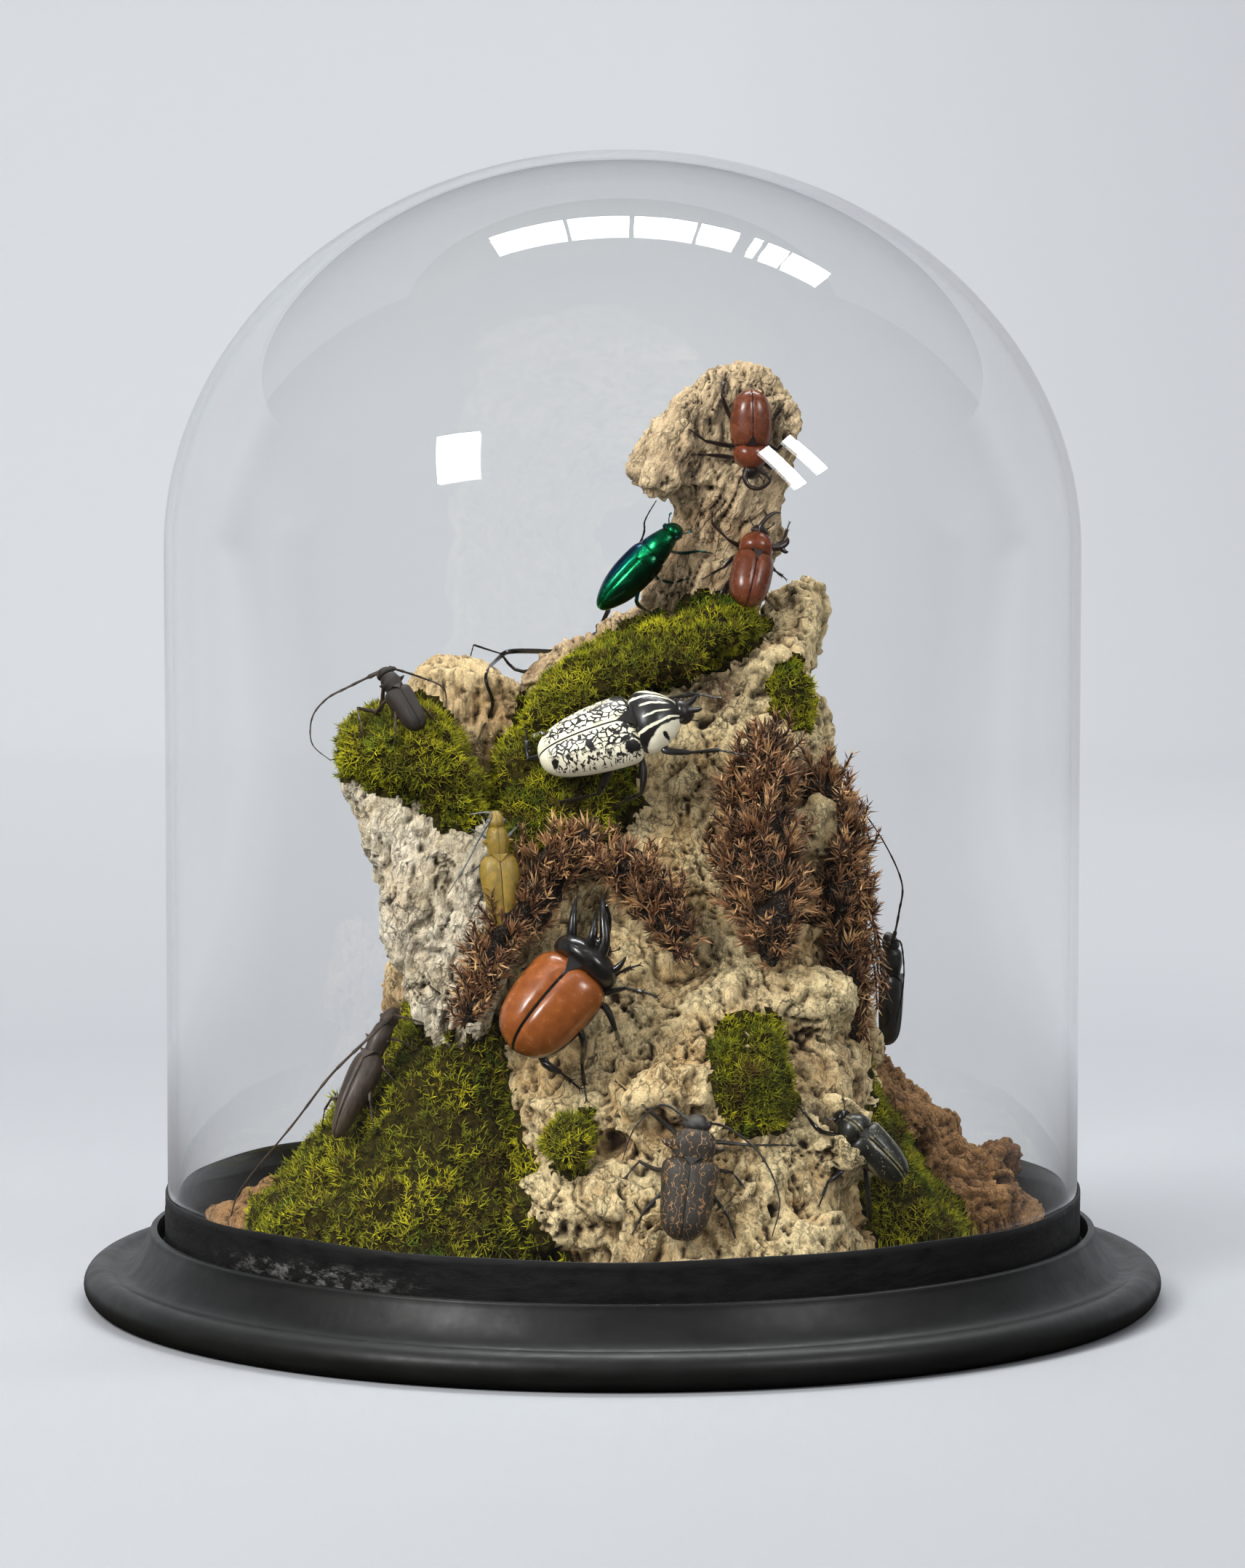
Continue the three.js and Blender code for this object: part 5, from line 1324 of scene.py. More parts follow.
def legLine(spec, leg, ground):
    hip, side, *path = leg
    place, long = spec["frame"], spec["long"]
    low, thick = spec["elytra"]["low"], spec["legThick"]
    hipX = {"front": long * 0.12, "middle": -long * 0.06, "hind": -long * 0.2}[hip]
    start = place @ Vector((hipX, side * spec["elytra"]["wide"] * 0.26, low * 0.6))
    up = upOf(place)
    sign = 1 if spec.get("behind") else -1
    if not isinstance(path[0], tuple):
        along, out = path
        rise = max(riseAt(ground, place, along, side * out) or -12, -20)
        tip = place @ Vector((along, side * out, rise + 0.4))
        knee = start.lerp(tip, 0.45) + up * (thick * 1.7 + max(0, rise) * 0.5)
        ankle = knee.lerp(tip, 0.62) + up * thick * 0.3
        return [start, start.lerp(knee, 0.5) + up * thick * 0.2, knee, ankle, tip]
    places = []
    y = start.y
    clear = {1: (0.5,), 2: (1.5, 0.35), 3: (1.4, 1.6, 0.35), 4: (1.5, 1.7, 0.9, 0.3)}[len(path)]
    for (x, z), lift in zip(path, clear):
        found = depthAt(ground, x, z, spec.get("behind", False))
        if found is not None and abs(found - y) < 26:
            y = found
        places.append(Vector((x, y + sign * (lift * thick if lift != clear[-1] else 0.5), z)))
    if len(places) == 1:
        places = [start.lerp(places[0], 0.5) + up * thick] + places
    if len(places) == 2:
        knee, tip = places
        return [start, start.lerp(knee, 0.5) + up * thick * 0.2, knee, knee.lerp(tip, 0.6) + up * thick * 0.3, tip]
    if len(places) == 3:
        edge, knee, tip = places
        return [start, edge, knee, knee.lerp(tip, 0.58) + up * thick * 0.3, tip]
    return [start] + places


def makeLeg(shape, spec, leg, ground, slot):
    start, edge, knee, ankle, tip = legLine(spec, leg, ground)
    thick = spec["legThick"]
    stout = 1.0 if spec["form"] in ("longhorn", "leafy", "harlequin") else 1.15
    thigh = np.array([.42, .52, .58, .56, .46, .32]) * thick * stout
    shin = np.array([.26, .25, .28, .33, .38, .3]) * thick * stout
    shape.tube(curveThrough([start, edge, knee], 9), thigh, slot, 8, 0.8)
    shape.ball(knee, (thick * .33,) * 3, slot, 8, 4)
    bow = knee.lerp(ankle, 0.5) + (knee - start).normalized() * thick * 0.12
    shape.tube(curveThrough([knee, bow, ankle], 8), shin, slot, 7, 0.75)
    instep = ankle.lerp(tip, 0.5) + (ankle - knee).normalized() * 0.1
    shape.tube(curveThrough([ankle, instep, tip], 16), [(.12, .2, .17)[i % 3] * thick for i in range(16)], slot, 5)
    ahead = (tip - ankle).normalized()
    up = upOf(spec["frame"])
    across = ahead.cross(up).normalized()
    for turn in (-1, 1):
        middle = tip + ahead * thick * .35 + across * turn * thick * .3
        end = tip + ahead * thick * .5 + across * turn * thick * .34 - up * thick * .25
        shape.tube([tip, middle, end], np.array([.09, .07, .02]) * thick, slot, 4)
    if stout > 1:  # spines along the shin and at its end
        for share in (0.4, 0.62, 0.84, 0.97):
            foot = knee.lerp(ankle, share)
            for turn in ((1,) if share < 0.9 else (1, -1)):
                end = foot + (across * turn + ahead * 0.7).normalized() * thick * (0.65 if share < 0.9 else 0.8)
                shape.tube([foot, foot.lerp(end, 0.5), end], np.array([.16, .1, .01]) * thick, slot, 4)


def feeler(shape, spec, path, slot):  # an antenna of eleven joints
    place, long = spec["frame"], spec["long"]
    side = -1 if (place.inverted() @ Vector(path[0])).y < 0 else 1
    low, high = spec["elytra"]["low"], spec["head"]["high"]
    start = place @ Vector((long * 0.27, side * spec["head"]["wide"] * 0.3, low + high * 0.55))
    thick = spec.get("feelerThick", 1.2)
    line = curveThrough([start] + [Vector(p) for p in path], 67)
    radii = []
    for i in range(67):
        t = i / 66
        joint = (i % 6) / 6
        radii.append(thick * (0.62 - 0.42 * t) * (0.78 + 0.42 * joint**2) * (1.5 if i < 6 else 1))
    shape.tube(line, radii, slot, 6)


def club(shape, spec, side, slot):  # a scarab's short clubbed antenna
    long, low = spec["long"], spec["elytra"]["low"]
    x, y, z = long * 0.29, side * spec["head"]["wide"] * 0.42, low + 1
    shape.tube([(x, y, z), (x + 1.6, y + side * 1.6, z + 0.4), (x + 2.8, y + side * 2.2, z + 0.4)], (.35, .25, .25),
               slot, 5)
    shape.ball((x + 3.3, y + side * 2.5, z + 0.4), (1.0, .45, .55), slot, 6, 4)


# Horns: lines in the beetle's own frame, millimetres from its middle, with their radii.
horns = {
    "rhinoceros_beetle_upper": [
        ([(9, -1.5, 5), (13, -3, 6), (16.5, -1, 6.5), (17.5, 3.2, 6.5), (15, 7.4, 6.5), (11.4, 8.6, 6.5)],
         (1.7, 1.2, 1.0, .85, .7, .35)),
        ([(13.6, 8.0, 6.5), (11.6, 6.4, 6.8), (10.4, 6.6, 7)], (.7, .5, .2)),
        ([(8, 2.5, 7), (10.5, 4.6, 8), (11.6, 6.2, 8)], (1.5, 1.1, .6)),
    ],
    "rhinoceros_beetle_lower": [
        ([(7.5, 0, 6), (11.5, .2, 7.5), (15.5, -1.6, 8), (18.4, -4.6, 8), (19.2, -7.2, 7.6)], (1.6, 1.1, .9, .7, .3)),
        ([(15.8, -1.8, 8), (17.6, .2, 8.3), (18.4, .8, 8.5)], (.7, .5, .2)),
        ([(3.5, -5, 5), (4.2, -9.4, 5.2), (7.2, -12.4, 5.4), (9.4, -12.6, 5.4)], (2.1, 1.7, 1.3, .5)),
        ([(4.6, -10, 5.2), (3.0, -12.6, 5.2), (3.4, -13.8, 5.2)], (1.4, .9, .4)),
    ],
    "five_horned_beetle": [
        ([(9, -5, 12), (17, -4.4, 15.5), (24, 1.5, 17), (29, 6.4, 17), (33.5, 10.6, 16.5)], (3.1, 2.4, 1.9, 1.3, .35)),
        ([(8, 0, 13), (15, .6, 17.5), (20, 3, 18.5), (25.5, 6.6, 18)], (2.8, 2.2, 1.6, .35)),
        ([(7, 7, 11), (14, 11, 14.5), (20, 15, 15.6), (26, 18.6, 15)], (2.8, 2.1, 1.4, .3)),
        ([(8, -11, 8), (14, -13.4, 10), (19, -13.6, 11.5)], (2.3, 1.5, .3)),
        ([(15, 0, 6.5), (21, .5, 7.5), (27, 3, 11), (30.5, 5.4, 17)], (2.8, 2.1, 1.5, .4)),
    ],
    "goliath_beetle": [
        ([(21, -1.5, 7), (24.5, -2.6, 7.6), (26.5, -3.6, 8.6)],
         (1.5, 1.3, .6)), ([(21, 1.5, 7), (24.5, 2.6, 7.6), (26.5, 3.6, 8.6)], (1.5, 1.3, .6)),
    ],
}


def makeBeetle(name, spec, ground):
    shape = Shape()
    long, form = spec["long"], spec["form"]
    caseForm, foreForm, caseFront, foreEnd, headBack = forms[form]
    e, head = spec["elytra"], spec["head"]
    skinPart(shape, spec, caseForm, caseFront, -0.64, {"wide": e["wide"] * 0.93, "high": e["high"] * 0.55}, 2)
    for side in (1, -1):
        wingCase(shape, spec, side, caseForm, 0)
    skinPart(shape, spec, foreForm, caseFront - 0.012, foreEnd, spec["pronotum"], 1)
    skinPart(shape, spec, "head", headBack, 0.34, head, 3, drop=1.0)
    plate = 0.1 if caseForm not in ("longhorn", "leaf") else 0.05  # the scutellum
    top = e["low"] + e["high"] * outlineAt(caseForm, 0.06)[1]
    rings = []
    for back, half, lift in ((0.012, 0.075, 0.05), (-plate * 0.6, 0.03, 0.42), (-plate, 0.005, 0.4)):
        x, y = (caseFront + back) * long, half * long
        rings.append([(x, y, top - 1.5), (x, -y, top - 1.5), (x, -y * 0.85, top + lift), (x, y * 0.85, top + lift)])
    shape.rings(rings, 3)
    for side in (1, -1):
        shape.ball((0.25 * long, side * head["wide"] * 0.44, e["low"] + head["high"] * 0.3),
                   Vector((.15, .13, .16)) * head["wide"], 2)
        if caseForm in ("longhorn", "leaf"):
            w = spec["pronotum"]["wide"]
            thorn = [(0.08, .42, 1.4), (0.085, .56, 2), (0.09, .64, 2.6)]
            shape.tube([(x * long, side * w * y, e["low"] + z) for x, y, z in thorn], (w * .12, w * .06, .1), 1, 7)
        else:
            club(shape, spec, side, 2)
    for line, radii in horns.get(name, []):
        shape.tube(curveThrough(line, 4 * len(line)), radii, 3, 9)
    shape.points = [tuple(spec["frame"] @ Vector(p)) for p in shape.points]
    for leg in spec["legs"]:
        makeLeg(shape, spec, leg, ground, 2)
    for path in spec.get("antennae", []):
        feeler(shape, spec, path, 2)
    if "over" in spec:  # a leg that hangs over to the front
        line, y = [spec["frame"] @ Vector((0, 0, 3))], 0
        for x, z in spec["over"]:
            found = depthAt(ground, x, z)
            y = (found if found is not None and abs(found) < 90 else y) - 1.2
            line.append(Vector((x, y, z)))
        shape.tube(curveThrough(line, 40), (1.1, 1.2, 1.0, .75, .8, .6, .25), 2, 7)
    points = [Vector(p) * mm for p in shape.points]
    piece = newPiece(name + "_mounted", points, shape.faces, beetleFinish[name](spec), shape.slots)
    outward(piece, None)
    storePlace(piece.data, "local", carried(pointsOf(piece.data), spec["frame"].inverted()))
    shadeSmooth(piece.data)
    sharpened(piece, 50)
    settle(piece, spec["slot"], name)
    return piece


def loose(name, points, faces, tips):  # a small shape that geometry nodes repeat
    piece = newPiece(name, [Vector(p) * mm for p in points], faces, [], smooth=False)
    storeValue(piece.data, "tip", tips)
    return piece


lance = ((0, 2, 1), (0, 3, 2), (0, 1, 3), (1, 2, 4), (2, 3, 4), (3, 1, 4))  # foot, three at the waist, tip


def leafWays(a, lean):  # the way a leaf points and its side, by its turn and lean
    return (Vector((math.cos(a) * math.sin(lean), math.sin(a) * math.sin(lean), math.cos(lean))),
            Vector((-math.sin(a), math.cos(a), 0)))


def spikes(name, seeds, count, long, wide, splay, climb):  # tapering leaves round a short shoot
    draw = random.Random(seeds)
    points, faces, tips = [], [], []
    for i in range(count):
        a = i * 2.4 + draw.uniform(-0.3, 0.3)
        out, side = leafWays(a, splay * draw.uniform(0.65, 1.15) * (1 - 0.5 * i / count))
        foot = Vector((0, 0, climb * i / count - 0.4)) + out * 0.1
        reach = long * draw.uniform(0.75, 1.1)
        faces += [tuple(len(points) + k for k in f) for f in ((0, 1, 3), (1, 2, 3), (2, 0, 3), (0, 2, 1))]
        points += [foot + side * wide / 2, foot - side * wide / 2, foot + out.cross(side) * wide * 0.35]
        points += [foot + out * reach + Vector((0, 0, reach * 0.18))]
        tips += [0.5 * i / count] * 3 + [1.0]
    return loose(name, points, faces, tips)


def needle(name, long, wide, bow):  # a closed lance-shaped leaflet that stands along Z
    points = [(0, 0, 0)]
    for a in (0.5, 2.6, 4.7):
        points.append((math.cos(a) * wide / 2, math.sin(a) * wide * 0.3 - bow * 0.5, long * 0.4))
    points.append((0, -bow * 1.4, long))
    return loose(name, points, lance, [0, 0.5, 0.5, 0.5, 1])


def tuft(name, seeds, count, long, wide, splay):  # a head of stiff leaflets round one shoot
    draw = random.Random(seeds)
    points, faces, tips = [], [], []
    for i in range(count):
        a = i * 2.4 + draw.uniform(-0.3, 0.3)
        out, side = leafWays(a, splay * draw.uniform(0.5, 1.1))
        foot = Vector((0, 0, 0.5 * i))
        reach = long * draw.uniform(0.7, 1.1)
        middle = foot + out * reach * 0.42
        faces += [tuple(len(points) + k for k in f) for f in lance]
        points += [foot, middle + side * wide / 2, middle - side * wide / 2, middle + out.cross(side) * wide * 0.4]
        points += [foot + out * reach + Vector((0, 0, reach * 0.12))]
        tips += [0.1, 0.55, 0.55, 0.55, 1.0]
    return loose(name, points, faces, tips)


def kept(name, pieces):  # a hidden collection for geometry nodes to pick from
    collection = bpy.data.collections.new(name)
    scene.collection.children.link(collection)
    for piece in pieces:
        collection.objects.link(piece)
        scene.collection.objects.unlink(piece)
    return collection


def planted(net, g, points, collection, turn, seeds, finish):  # a shape on each point, with its own size and tint
    whole = {"Collection": collection, "Separate Children": True, "Reset Children": True}
    shapes = net.add("GeometryNodeCollectionInfo", whole)
    size = net.draw(g["Smallest"], g["Largest"], net.plus(g["Seed"], seeds[0]))
    tint = net.draw(0.0, 1.0, net.plus(g["Seed"], seeds[1]))
    placed = net.add("GeometryNodeInstanceOnPoints", {
        "Points": points, "Instance": shapes.outputs[0], "Pick Instance": True, "Rotation": turn, "Scale": size,
    }).outputs[0]
    named = net.add("GeometryNodeStoreNamedAttribute", {"Geometry": placed, "Name": "tint", "Value": tint},
                    data_type="FLOAT", domain="INSTANCE").outputs[0]
    real = net.add("GeometryNodeRealizeInstances", {0: named}).outputs[0]
    return net.add("GeometryNodeSetMaterial", {"Geometry": real, "Material": finish}).outputs[0]


def together(net, out, first, second):  # both on the group's output
    both = net.add("GeometryNodeJoinGeometry")
    net.give(both.inputs[0], first)
    net.give(both.inputs[0], second)
    net.give(out.inputs[0], both.outputs[0])
    return net.tree


def scatterTree():
    net, given, out = newGroup("scatteredShoots", "GeometryNodeTree", {
        "Geometry": ["Mat"], "Collection": ["Shoots"], "Int": [("Seed", 1)], "Material": ["Mat finish", "Shoot finish"],
        "Float": [("Density", 1000), ("Smallest", 0.7), ("Largest", 1.3), ("Lean", 0.5), ("Upward", 0.3)],
    }, {"Geometry": ["Geometry"]})
    g = given.outputs
    cover = net.add("GeometryNodeInputNamedAttribute", {"Name": "cover"}, data_type="FLOAT").outputs["Attribute"]
    density = net.times(cover, g["Density"])
    spread = net.add("GeometryNodeDistributePointsOnFaces", {"Mesh": g["Mat"], "Density": density, "Seed": g["Seed"]})
    lean = net.joined(g["Lean"], g["Lean"], 6.283)
    back = net.vector("MULTIPLY", lean, (-1, -1, 0))
    seed = net.plus(g["Seed"], 3)
    turn = net.add("FunctionNodeRandomValue", {0: back, 1: lean, "Seed": seed}, data_type="FLOAT_VECTOR").outputs[0]
    rising = net.vector("ADD", spread.outputs["Normal"], net.joined(z=g["Upward"]))
    upright = net.add("FunctionNodeAlignRotationToVector", {"Vector": rising}, axis="Z").outputs[0]
    turned = net.rotated(upright, turn)
    leaves = planted(net, g, spread.outputs["Points"], g["Shoots"], turned, (5, 9), g["Shoot finish"])
    mat = net.add("GeometryNodeSetMaterial", {"Geometry": g["Mat"], "Material": g["Mat finish"]}).outputs[0]
    return together(net, out, mat, leaves)


def sprayTree():  # stems along their lines, with leaflets set round them
    net, given, out = newGroup("leafySprays", "GeometryNodeTree", {
        "Geometry": ["Lines"], "Collection": ["Leaflets"], "Int": [("Seed", 1)],
        "Material": ["Stem finish", "Leaf finish"],
        "Float": [("Spacing", 0.001), ("Stem radius", 0.0005), ("Tilt", 0.7), ("Spread", 0.3), ("Smallest", 0.7),
                  ("Largest", 1.2)],
    }, {"Geometry": ["Geometry"]})
    g = given.outputs
    curve = net.add("GeometryNodeMeshToCurve", {"Mesh": g["Lines"]}).outputs[0]
    ring = net.add("GeometryNodeCurvePrimitiveCircle", {"Resolution": 5, "Radius": g["Stem radius"]},
                   mode="RADIUS").outputs[0]
    stems = net.add("GeometryNodeCurveToMesh", {"Curve": curve, "Profile Curve": ring, "Fill Caps": True}).outputs[0]
    stems = net.add("GeometryNodeSetMaterial", {"Geometry": stems, "Material": g["Stem finish"]}).outputs[0]
    even = net.add("GeometryNodeResampleCurve", {"Curve": curve, "Length": g["Spacing"]}, mode="LENGTH").outputs[0]
    tangent = net.add("GeometryNodeInputTangent").outputs[0]
    aligned = net.add("FunctionNodeAlignRotationToVector", {"Vector": tangent}, axis="Z").outputs[0]
    index = net.add("GeometryNodeInputIndex").outputs[0]
    around = net.plus(net.times(index, 2.4), net.draw(-0.5, 0.5, net.plus(g["Seed"], 1)))
    lean = net.plus(g["Tilt"], net.draw(net.times(g["Spread"], -1), g["Spread"], net.plus(g["Seed"], 2)))
    turn = net.rotated(net.rotated(aligned, net.joined(z=around)), net.joined(x=lean))
    leaves = planted(net, g, even, g["Leaflets"], turn, (4, 6), g["Leaf finish"])
    return together(net, out, stems, leaves)


def grow(piece, tree, **values):  # runs a geometry nodes tree with its inputs set by identifier
    mod = piece.modifiers.new("grow", "NODES")
    mod.node_group = tree
    for item in tree.interface.items_tree:
        key = item.name.replace(" ", "_")
        if item.in_out == "INPUT" and key in values:
            mod[item.identifier] = values[key]
    return evaluated(piece)


shoots = kept("mossShoots", [
    spikes("shootOpen", 1, 4, 2.4, 0.6, 1.05, 0.8), spikes("shootTall", 2, 5, 2.2, 0.55, 0.9, 2.0),
    spikes("shootFlat", 3, 4, 2.7, 0.55, 1.3, 0.5),
])
leaflets = kept("heatherLeaflets", [
    needle("leafletLong", 5.4, 1.0, 0.4), needle("leafletShort", 4.2, 0.9, 0.2), needle("leafletBent", 5.0, 1.0, 0.9),
])
tufts = kept("heatherTufts", [
    tuft("tuftOpen", 5, 6, 6.4, 1.0, 0.7), tuft("tuftTight", 6, 6, 6.0, 0.9, 0.42),
    tuft("tuftWide", 7, 5, 5.6, 1.05, 0.85),
])
mossTree, heatherTree = scatterTree(), sprayTree()

# Moss: shrink keeps the mat inside its solid so that the shoots end near its surface; density is shoots on 1 mm2.
moss = {
    "moss_front_left": {"density": 0.17, "shrink": 1.4, "lump": 3.2, "creep": 3.5, "spread": (25, 34, 100),
                        "size": (0.85, 1.7)},
    "moss_front_right": {"density": 0.34, "shrink": 1.6, "lump": 2.2, "creep": 5},
    "moss_back_left": {"density": 0.17, "shrink": 1.6, "lump": 2.6, "creep": 4},
    "moss_back_right": {"density": 0.17, "shrink": 1.6, "lump": 2.6, "creep": 4},
    "moss_summit": {"density": 0.36, "shrink": 1.6, "lump": 2.6, "creep": 5},
    "moss_under_goliath": {"density": 0.34, "shrink": 1.5, "lump": 2.2, "creep": 5},
    "moss_left_top": {"density": 0.36, "shrink": 1.5, "lump": 2.4, "creep": 5},
    "moss_prong": {"density": 0.45, "shrink": -3.5, "lump": 1.5, "creep": 4},
    "moss_cushion": {"density": 0.45, "shrink": 0.8, "lump": 3.8, "creep": 3},
    "moss_tuft": {"density": 0.45, "shrink": 0.6, "lump": 1.4, "creep": 4},
}


def joined(piece, other):  # one mesh of two
    both = [piece, other]
    with bpy.context.temp_override(active_object=piece, object=piece, selected_objects=both,
                                   selected_editable_objects=both):
        bpy.ops.object.join()
    return piece


def creeping(node, s, shift):  # a thin mat on the bark round the foot of a cushion, with a ragged border
    solid = treeOf([frame["nodes"][node]])
    box = pointsOf(frame["nodes"][node].data)
    reach = max(s["creep"], s.get("spread", (0, 0, 0))[0])
    low, high = box.min(0) - reach, box.max(0) + reach
    made = []
    for bark in barkPieces:
        mesh = bark.data
        points, normals = pointsOf(mesh), normalsOf(mesh)
        near = np.all((points > low) & (points < high), 1) & (points[:, 2] > 29)
        cover = np.full(len(points), -1.0)
        for i in np.nonzero(near)[0]:
            p = Vector(points[i])
            far = s["creep"]
            if "spread" in s:
                wide, foot, top = s["spread"]
                if p.y < -60 and p.x > -90:
                    far += (wide - far) * between((top - p.z) / (top - foot))
            nearest, facing, face, away = solid.find_nearest(p, far)
            if away is not None and (p - nearest).dot(facing) > -2.5:
                edge = 1 - away / far
                cover[i] = edge * 1.6 - 0.35 + 1.3 * noise.noise((p + shift) / 6)
        if cover.max() <= 0:
            continue
        starts, loops = np.empty(len(mesh.polygons), int), np.empty(len(mesh.loops), int)
        mesh.polygons.foreach_get("loop_start", starts)
        mesh.loops.foreach_get("vertex_index", loops)
        chosen = [mesh.polygons[i] for i in np.nonzero(np.maximum.reduceat(cover[loops], starts) > 0)[0]]
        used = sorted({v for f in chosen for v in f.vertices})
        place = {v: k for k, v in enumerate(used)}
        shell = points[used] + normals[used] * (0.1 + 0.7 * np.clip(cover[used], 0, 1))[:, None]
        faces = [[place[v] for v in f.vertices] for f in chosen]
        part = newPiece(node + "_fringe", [Vector(p) * mm for p in shell], faces, [])
        storeValue(part.data, "cover", np.clip(cover[used] * 1.5, 0, 1))
        # the fringe's even hollow value is a light painted shade all over it
        storeValue(part.data, "hollow_shade", np.full(len(used), 0.35))
        made.append(part)
    for other in made[1:]:
        made[0] = joined(made[0], other)
    return made[0] if made else None


def makeMoss(node, s, seed, ground):
    piece, edges, points, normals = softened(node, 2.6, 5, 5)
    mesh = piece.data
    shift = Vector((seed * 9.1, seed * 4.3, seed * 2.7))
    spots = [Vector(p) + shift for p in points]
    lumps = [noise.fractal(p / 10, 0.7, 2.1, 3) * 1.1 + abs(noise.noise(p / 16)) * 1.8 - 0.5 for p in spots]
    lumps = np.array(lumps) * s["lump"]
    points = points + normals * (lumps - s["shrink"])[:, None]
    points[:, 2] = np.maximum(points[:, 2], 28.2)
    cover = np.clip(0.9 + 1.1 * np.array([noise.noise((Vector(p) + shift) / 13) for p in points]), 0.45, 1)
    rising = Vector((0, -0.3, 1))
    for i, (p, n) in enumerate(zip(points, normals)):
        hit = ground.ray_cast(Vector(p) + Vector(n) * 0.3, Vector(n), 4)
        inside = ground.ray_cast(Vector(p), rising.normalized(), 400)
        buried = inside[0] is not None and inside[1].dot(rising) > 0
        if hit[0] is not None and hit[3] < 3 or buried or p[2] < 28.7 or n[2] < -0.85:
            cover[i] = 0
    placePoints(mesh, points)
    storeValue(mesh, "cover", cover)
    # hollow: painted shade where the mat dips between its lumps
    storeValue(mesh, "hollow_shade", np.clip(0.5 - lumps / (2.6 * s["lump"]), 0, 1))
    fringe = creeping(node, s, shift)
    if fringe:
        piece = joined(piece, fringe)
    shadeSmooth(piece.data)
    smallest, largest = s.get("size", (0.75, 1.5))
    grow(piece, mossTree, Shoots=shoots, Density=s["density"] * 1e6, Smallest=smallest, Largest=largest, Lean=0.45,
         Upward=0.35, Seed=seed, Mat_finish=mossShadeMat, Shoot_finish=mossBlade)
    piece.name = node + "_growth"
    settle(piece, "moss", node)
    print("  ", piece.name, trianglesOf([piece]), "triangles")


# Heather: bushy masses of leaf tufts on the solids, with sprigs along the routes as (x, y, z, half width, half depth).
heather = {
    "heather_left": {
        "sink": (3.8, 3.8), "stems": 9,
        "route": [(-66, -118, 132, 6, 6), (-60, -112, 150, 10, 9), (-48, -106, 172, 13, 11), (-34, -98, 192, 14, 11),
                  (-18, -92, 206, 13, 10), (-8, -86, 214, 6, 6)],
    },
    "heather_middle": {
        "sink": (3.8, 3.8), "stems": 8,
        "route": [(-12, -98, 202, 8, 8), (2, -98, 198, 13, 10), (14, -104, 184, 14, 10), (22, -112, 168, 11, 8),
                  (26, -116, 158, 5, 5)],
    },
    "heather_right_inner": {
        "sink": (4.0, 0.5), "stems": 12,
        "route": [(60, -62, 254, 8, 6), (58, -72, 240, 14, 11), (56, -84, 222, 17, 13), (56, -94, 202, 18, 14),
                  (58, -102, 182, 17, 13), (60, -108, 166, 11, 9), (62, -110, 156, 5, 5)],
    },
    "heather_right_outer": {
        "sink": (-1.5, 10.5), "stems": 14,
        "sprigs": [[(96, -72, 196), (104, -74, 180), (110, -74, 160), (112, -74, 142)],
                   [(98, -76, 176), (106, -80, 158), (108, -80, 136)]],
        "route": [(86, -40, 236, 9, 8), (93, -52, 220, 14, 12), (98, -62, 198, 17, 14), (100, -70, 174, 16, 14),
                  (100, -74, 150, 13, 12), (100, -74, 130, 9, 9), (102, -74, 118, 5, 5)],
    },
}


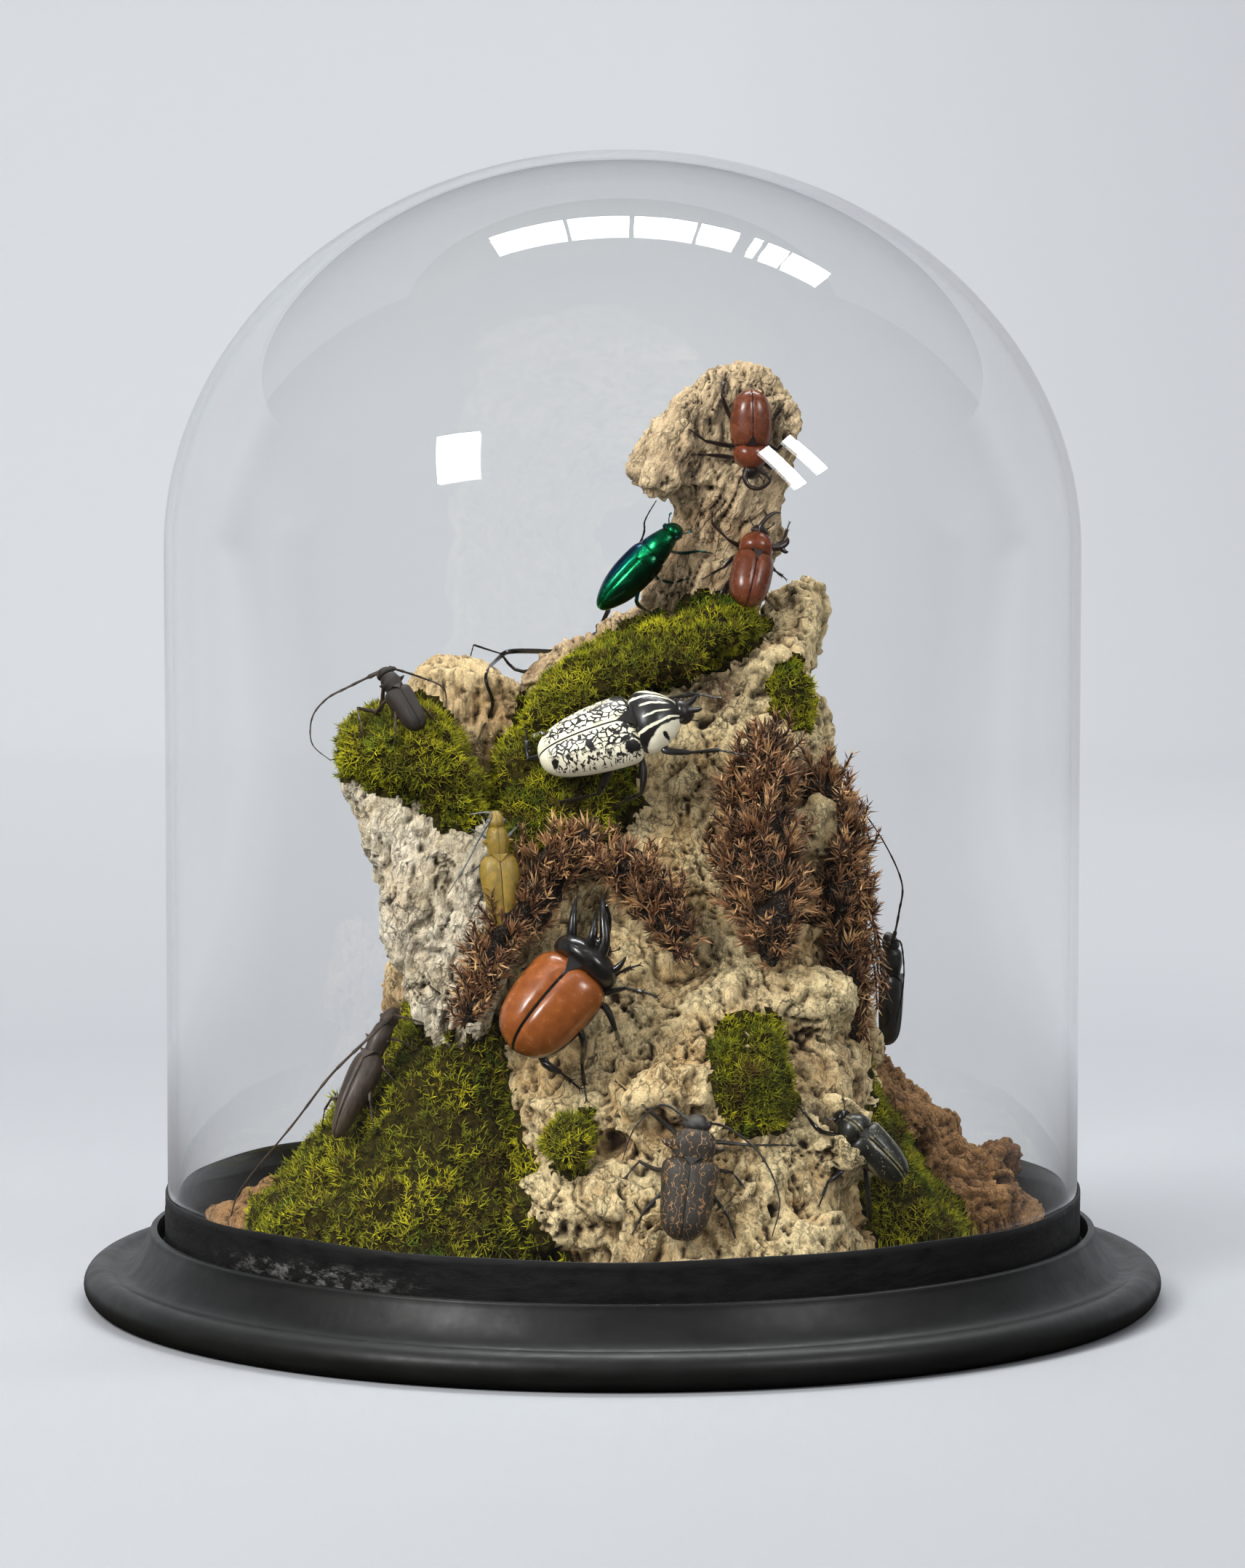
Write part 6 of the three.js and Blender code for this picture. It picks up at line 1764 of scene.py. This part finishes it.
def makeHeather(node, s, seed):
    core, edges, points, normals = softened(node, 2.8, 3, 3, False)
    mesh = core.data
    shift = Vector((seed, 0, 0))
    spots = [Vector(p) for p in points]
    lumps = np.array([noise.fractal(p / 12 + shift, 0.8, 2.1, 3) * 4.2 + noise.noise(p / 5 + shift) * 2.4 for p in spots])
    west, east = s["sink"]
    points = points + normals * (lumps - west - (east - west) * smoothStep(normals[:, 0], -0.5, 0.6))[:, None]
    placePoints(mesh, points)
    clumps = np.array([noise.noise(Vector(p) / 7 + shift) for p in points])
    storeValue(mesh, "cover", np.where(normals[:, 1] > 0.75, 0.3, np.clip(0.75 + 1.6 * clumps, 0.25, 1)))
    draw = random.Random(seed)
    outer = [i for i in range(len(points)) if normals[i][1] < 0.4]
    sprigs = []
    for i in draw.sample(outer, s["stems"] * 4):
        start, way = Vector(points[i]), Vector(normals[i])
        end = start + way * draw.uniform(4, 8) + Vector((draw.uniform(-2, 2), 0, draw.uniform(4, 11)))
        sprigs.append([start - way * 3, start + way * 2.5 + Vector((0, 0, 1)), end])
    grow(core, mossTree, Shoots=tufts, Density=1e5, Smallest=0.7, Largest=1.35, Lean=0.45, Upward=0.75,
         Seed=seed, Mat_finish=heatherShadeCore, Shoot_finish=heatherLeaf)
    route = curveThrough(s["route"], 60)
    points, edges = [], []
    for k in range(s["stems"]):
        begin = draw.uniform(0.0, 0.7)
        long = draw.uniform(0.22, 0.36)
        a = draw.uniform(0, 2 * math.pi)
        if math.sin(a) < -0.2 and draw.random() < 0.5:
            a = -a
        start = len(points)
        for i in range(8):
            t = begin + long * i / 7
            x, y, z, wide, deep = route[min(59, int(t * 59))]
            part = (0.25 + 0.75 * i / 7) * draw.uniform(0.93, 1.0)
            lift = Vector((math.cos(a) * wide * part * 0.8, -math.sin(a) * deep * part * 0.8, 0))
            across = 0.35 * wide * part * math.sin(a)
            points.append(Vector((x, y, z)) + lift + Vector((0, 0, across)))
            if i:
                edges.append((start + i - 1, start + i))
    for line in s.get("sprigs", []) + sprigs:
        start = len(points)
        points += [Vector(p) for p in curveThrough(line, 6)]
        edges += [(start + i, start + i + 1) for i in range(5)]
    mesh = bpy.data.meshes.new(node + "_lines")
    mesh.from_pydata([tuple(p * mm) for p in points], edges, [])
    piece = bpy.data.objects.new(node + "_sprays", mesh)
    scene.collection.objects.link(piece)
    grow(piece, heatherTree, Leaflets=leaflets, Spacing=0.7 * mm, Stem_radius=0.45 * mm, Tilt=0.62, Spread=0.35,
         Smallest=0.75, Largest=1.25, Seed=seed, Stem_finish=heatherStem, Leaf_finish=heatherLeaf)
    piece = joined(piece, core)
    settle(piece, "heather", node)
    print("  ", piece.name, trianglesOf([piece]), "triangles")


barkPieces = [makeWood(node, s, 3 + i) for i, (node, s) in enumerate(wood.items())]
print("stage: bark and driftwood")
ground = treeOf(barkPieces)
for i, (node, s) in enumerate(moss.items()):
    makeMoss(node, s, 11 + i, ground)
print("stage: moss")
for i, (node, s) in enumerate(heather.items()):
    makeHeather(node, s, 31 + i)
print("stage: heather")
standing = treeOf(barkPieces + [frame["nodes"][node] for node in moss])
for name, spec in beetles.items():
    makeBeetle(name, spec, standing)
print("stage: beetles")
for piece in [p for c in (shoots, leaflets, tufts) for p in c.objects]:
    bpy.data.objects.remove(piece)
for collection in (shoots, leaflets, tufts):
    bpy.data.collections.remove(collection)
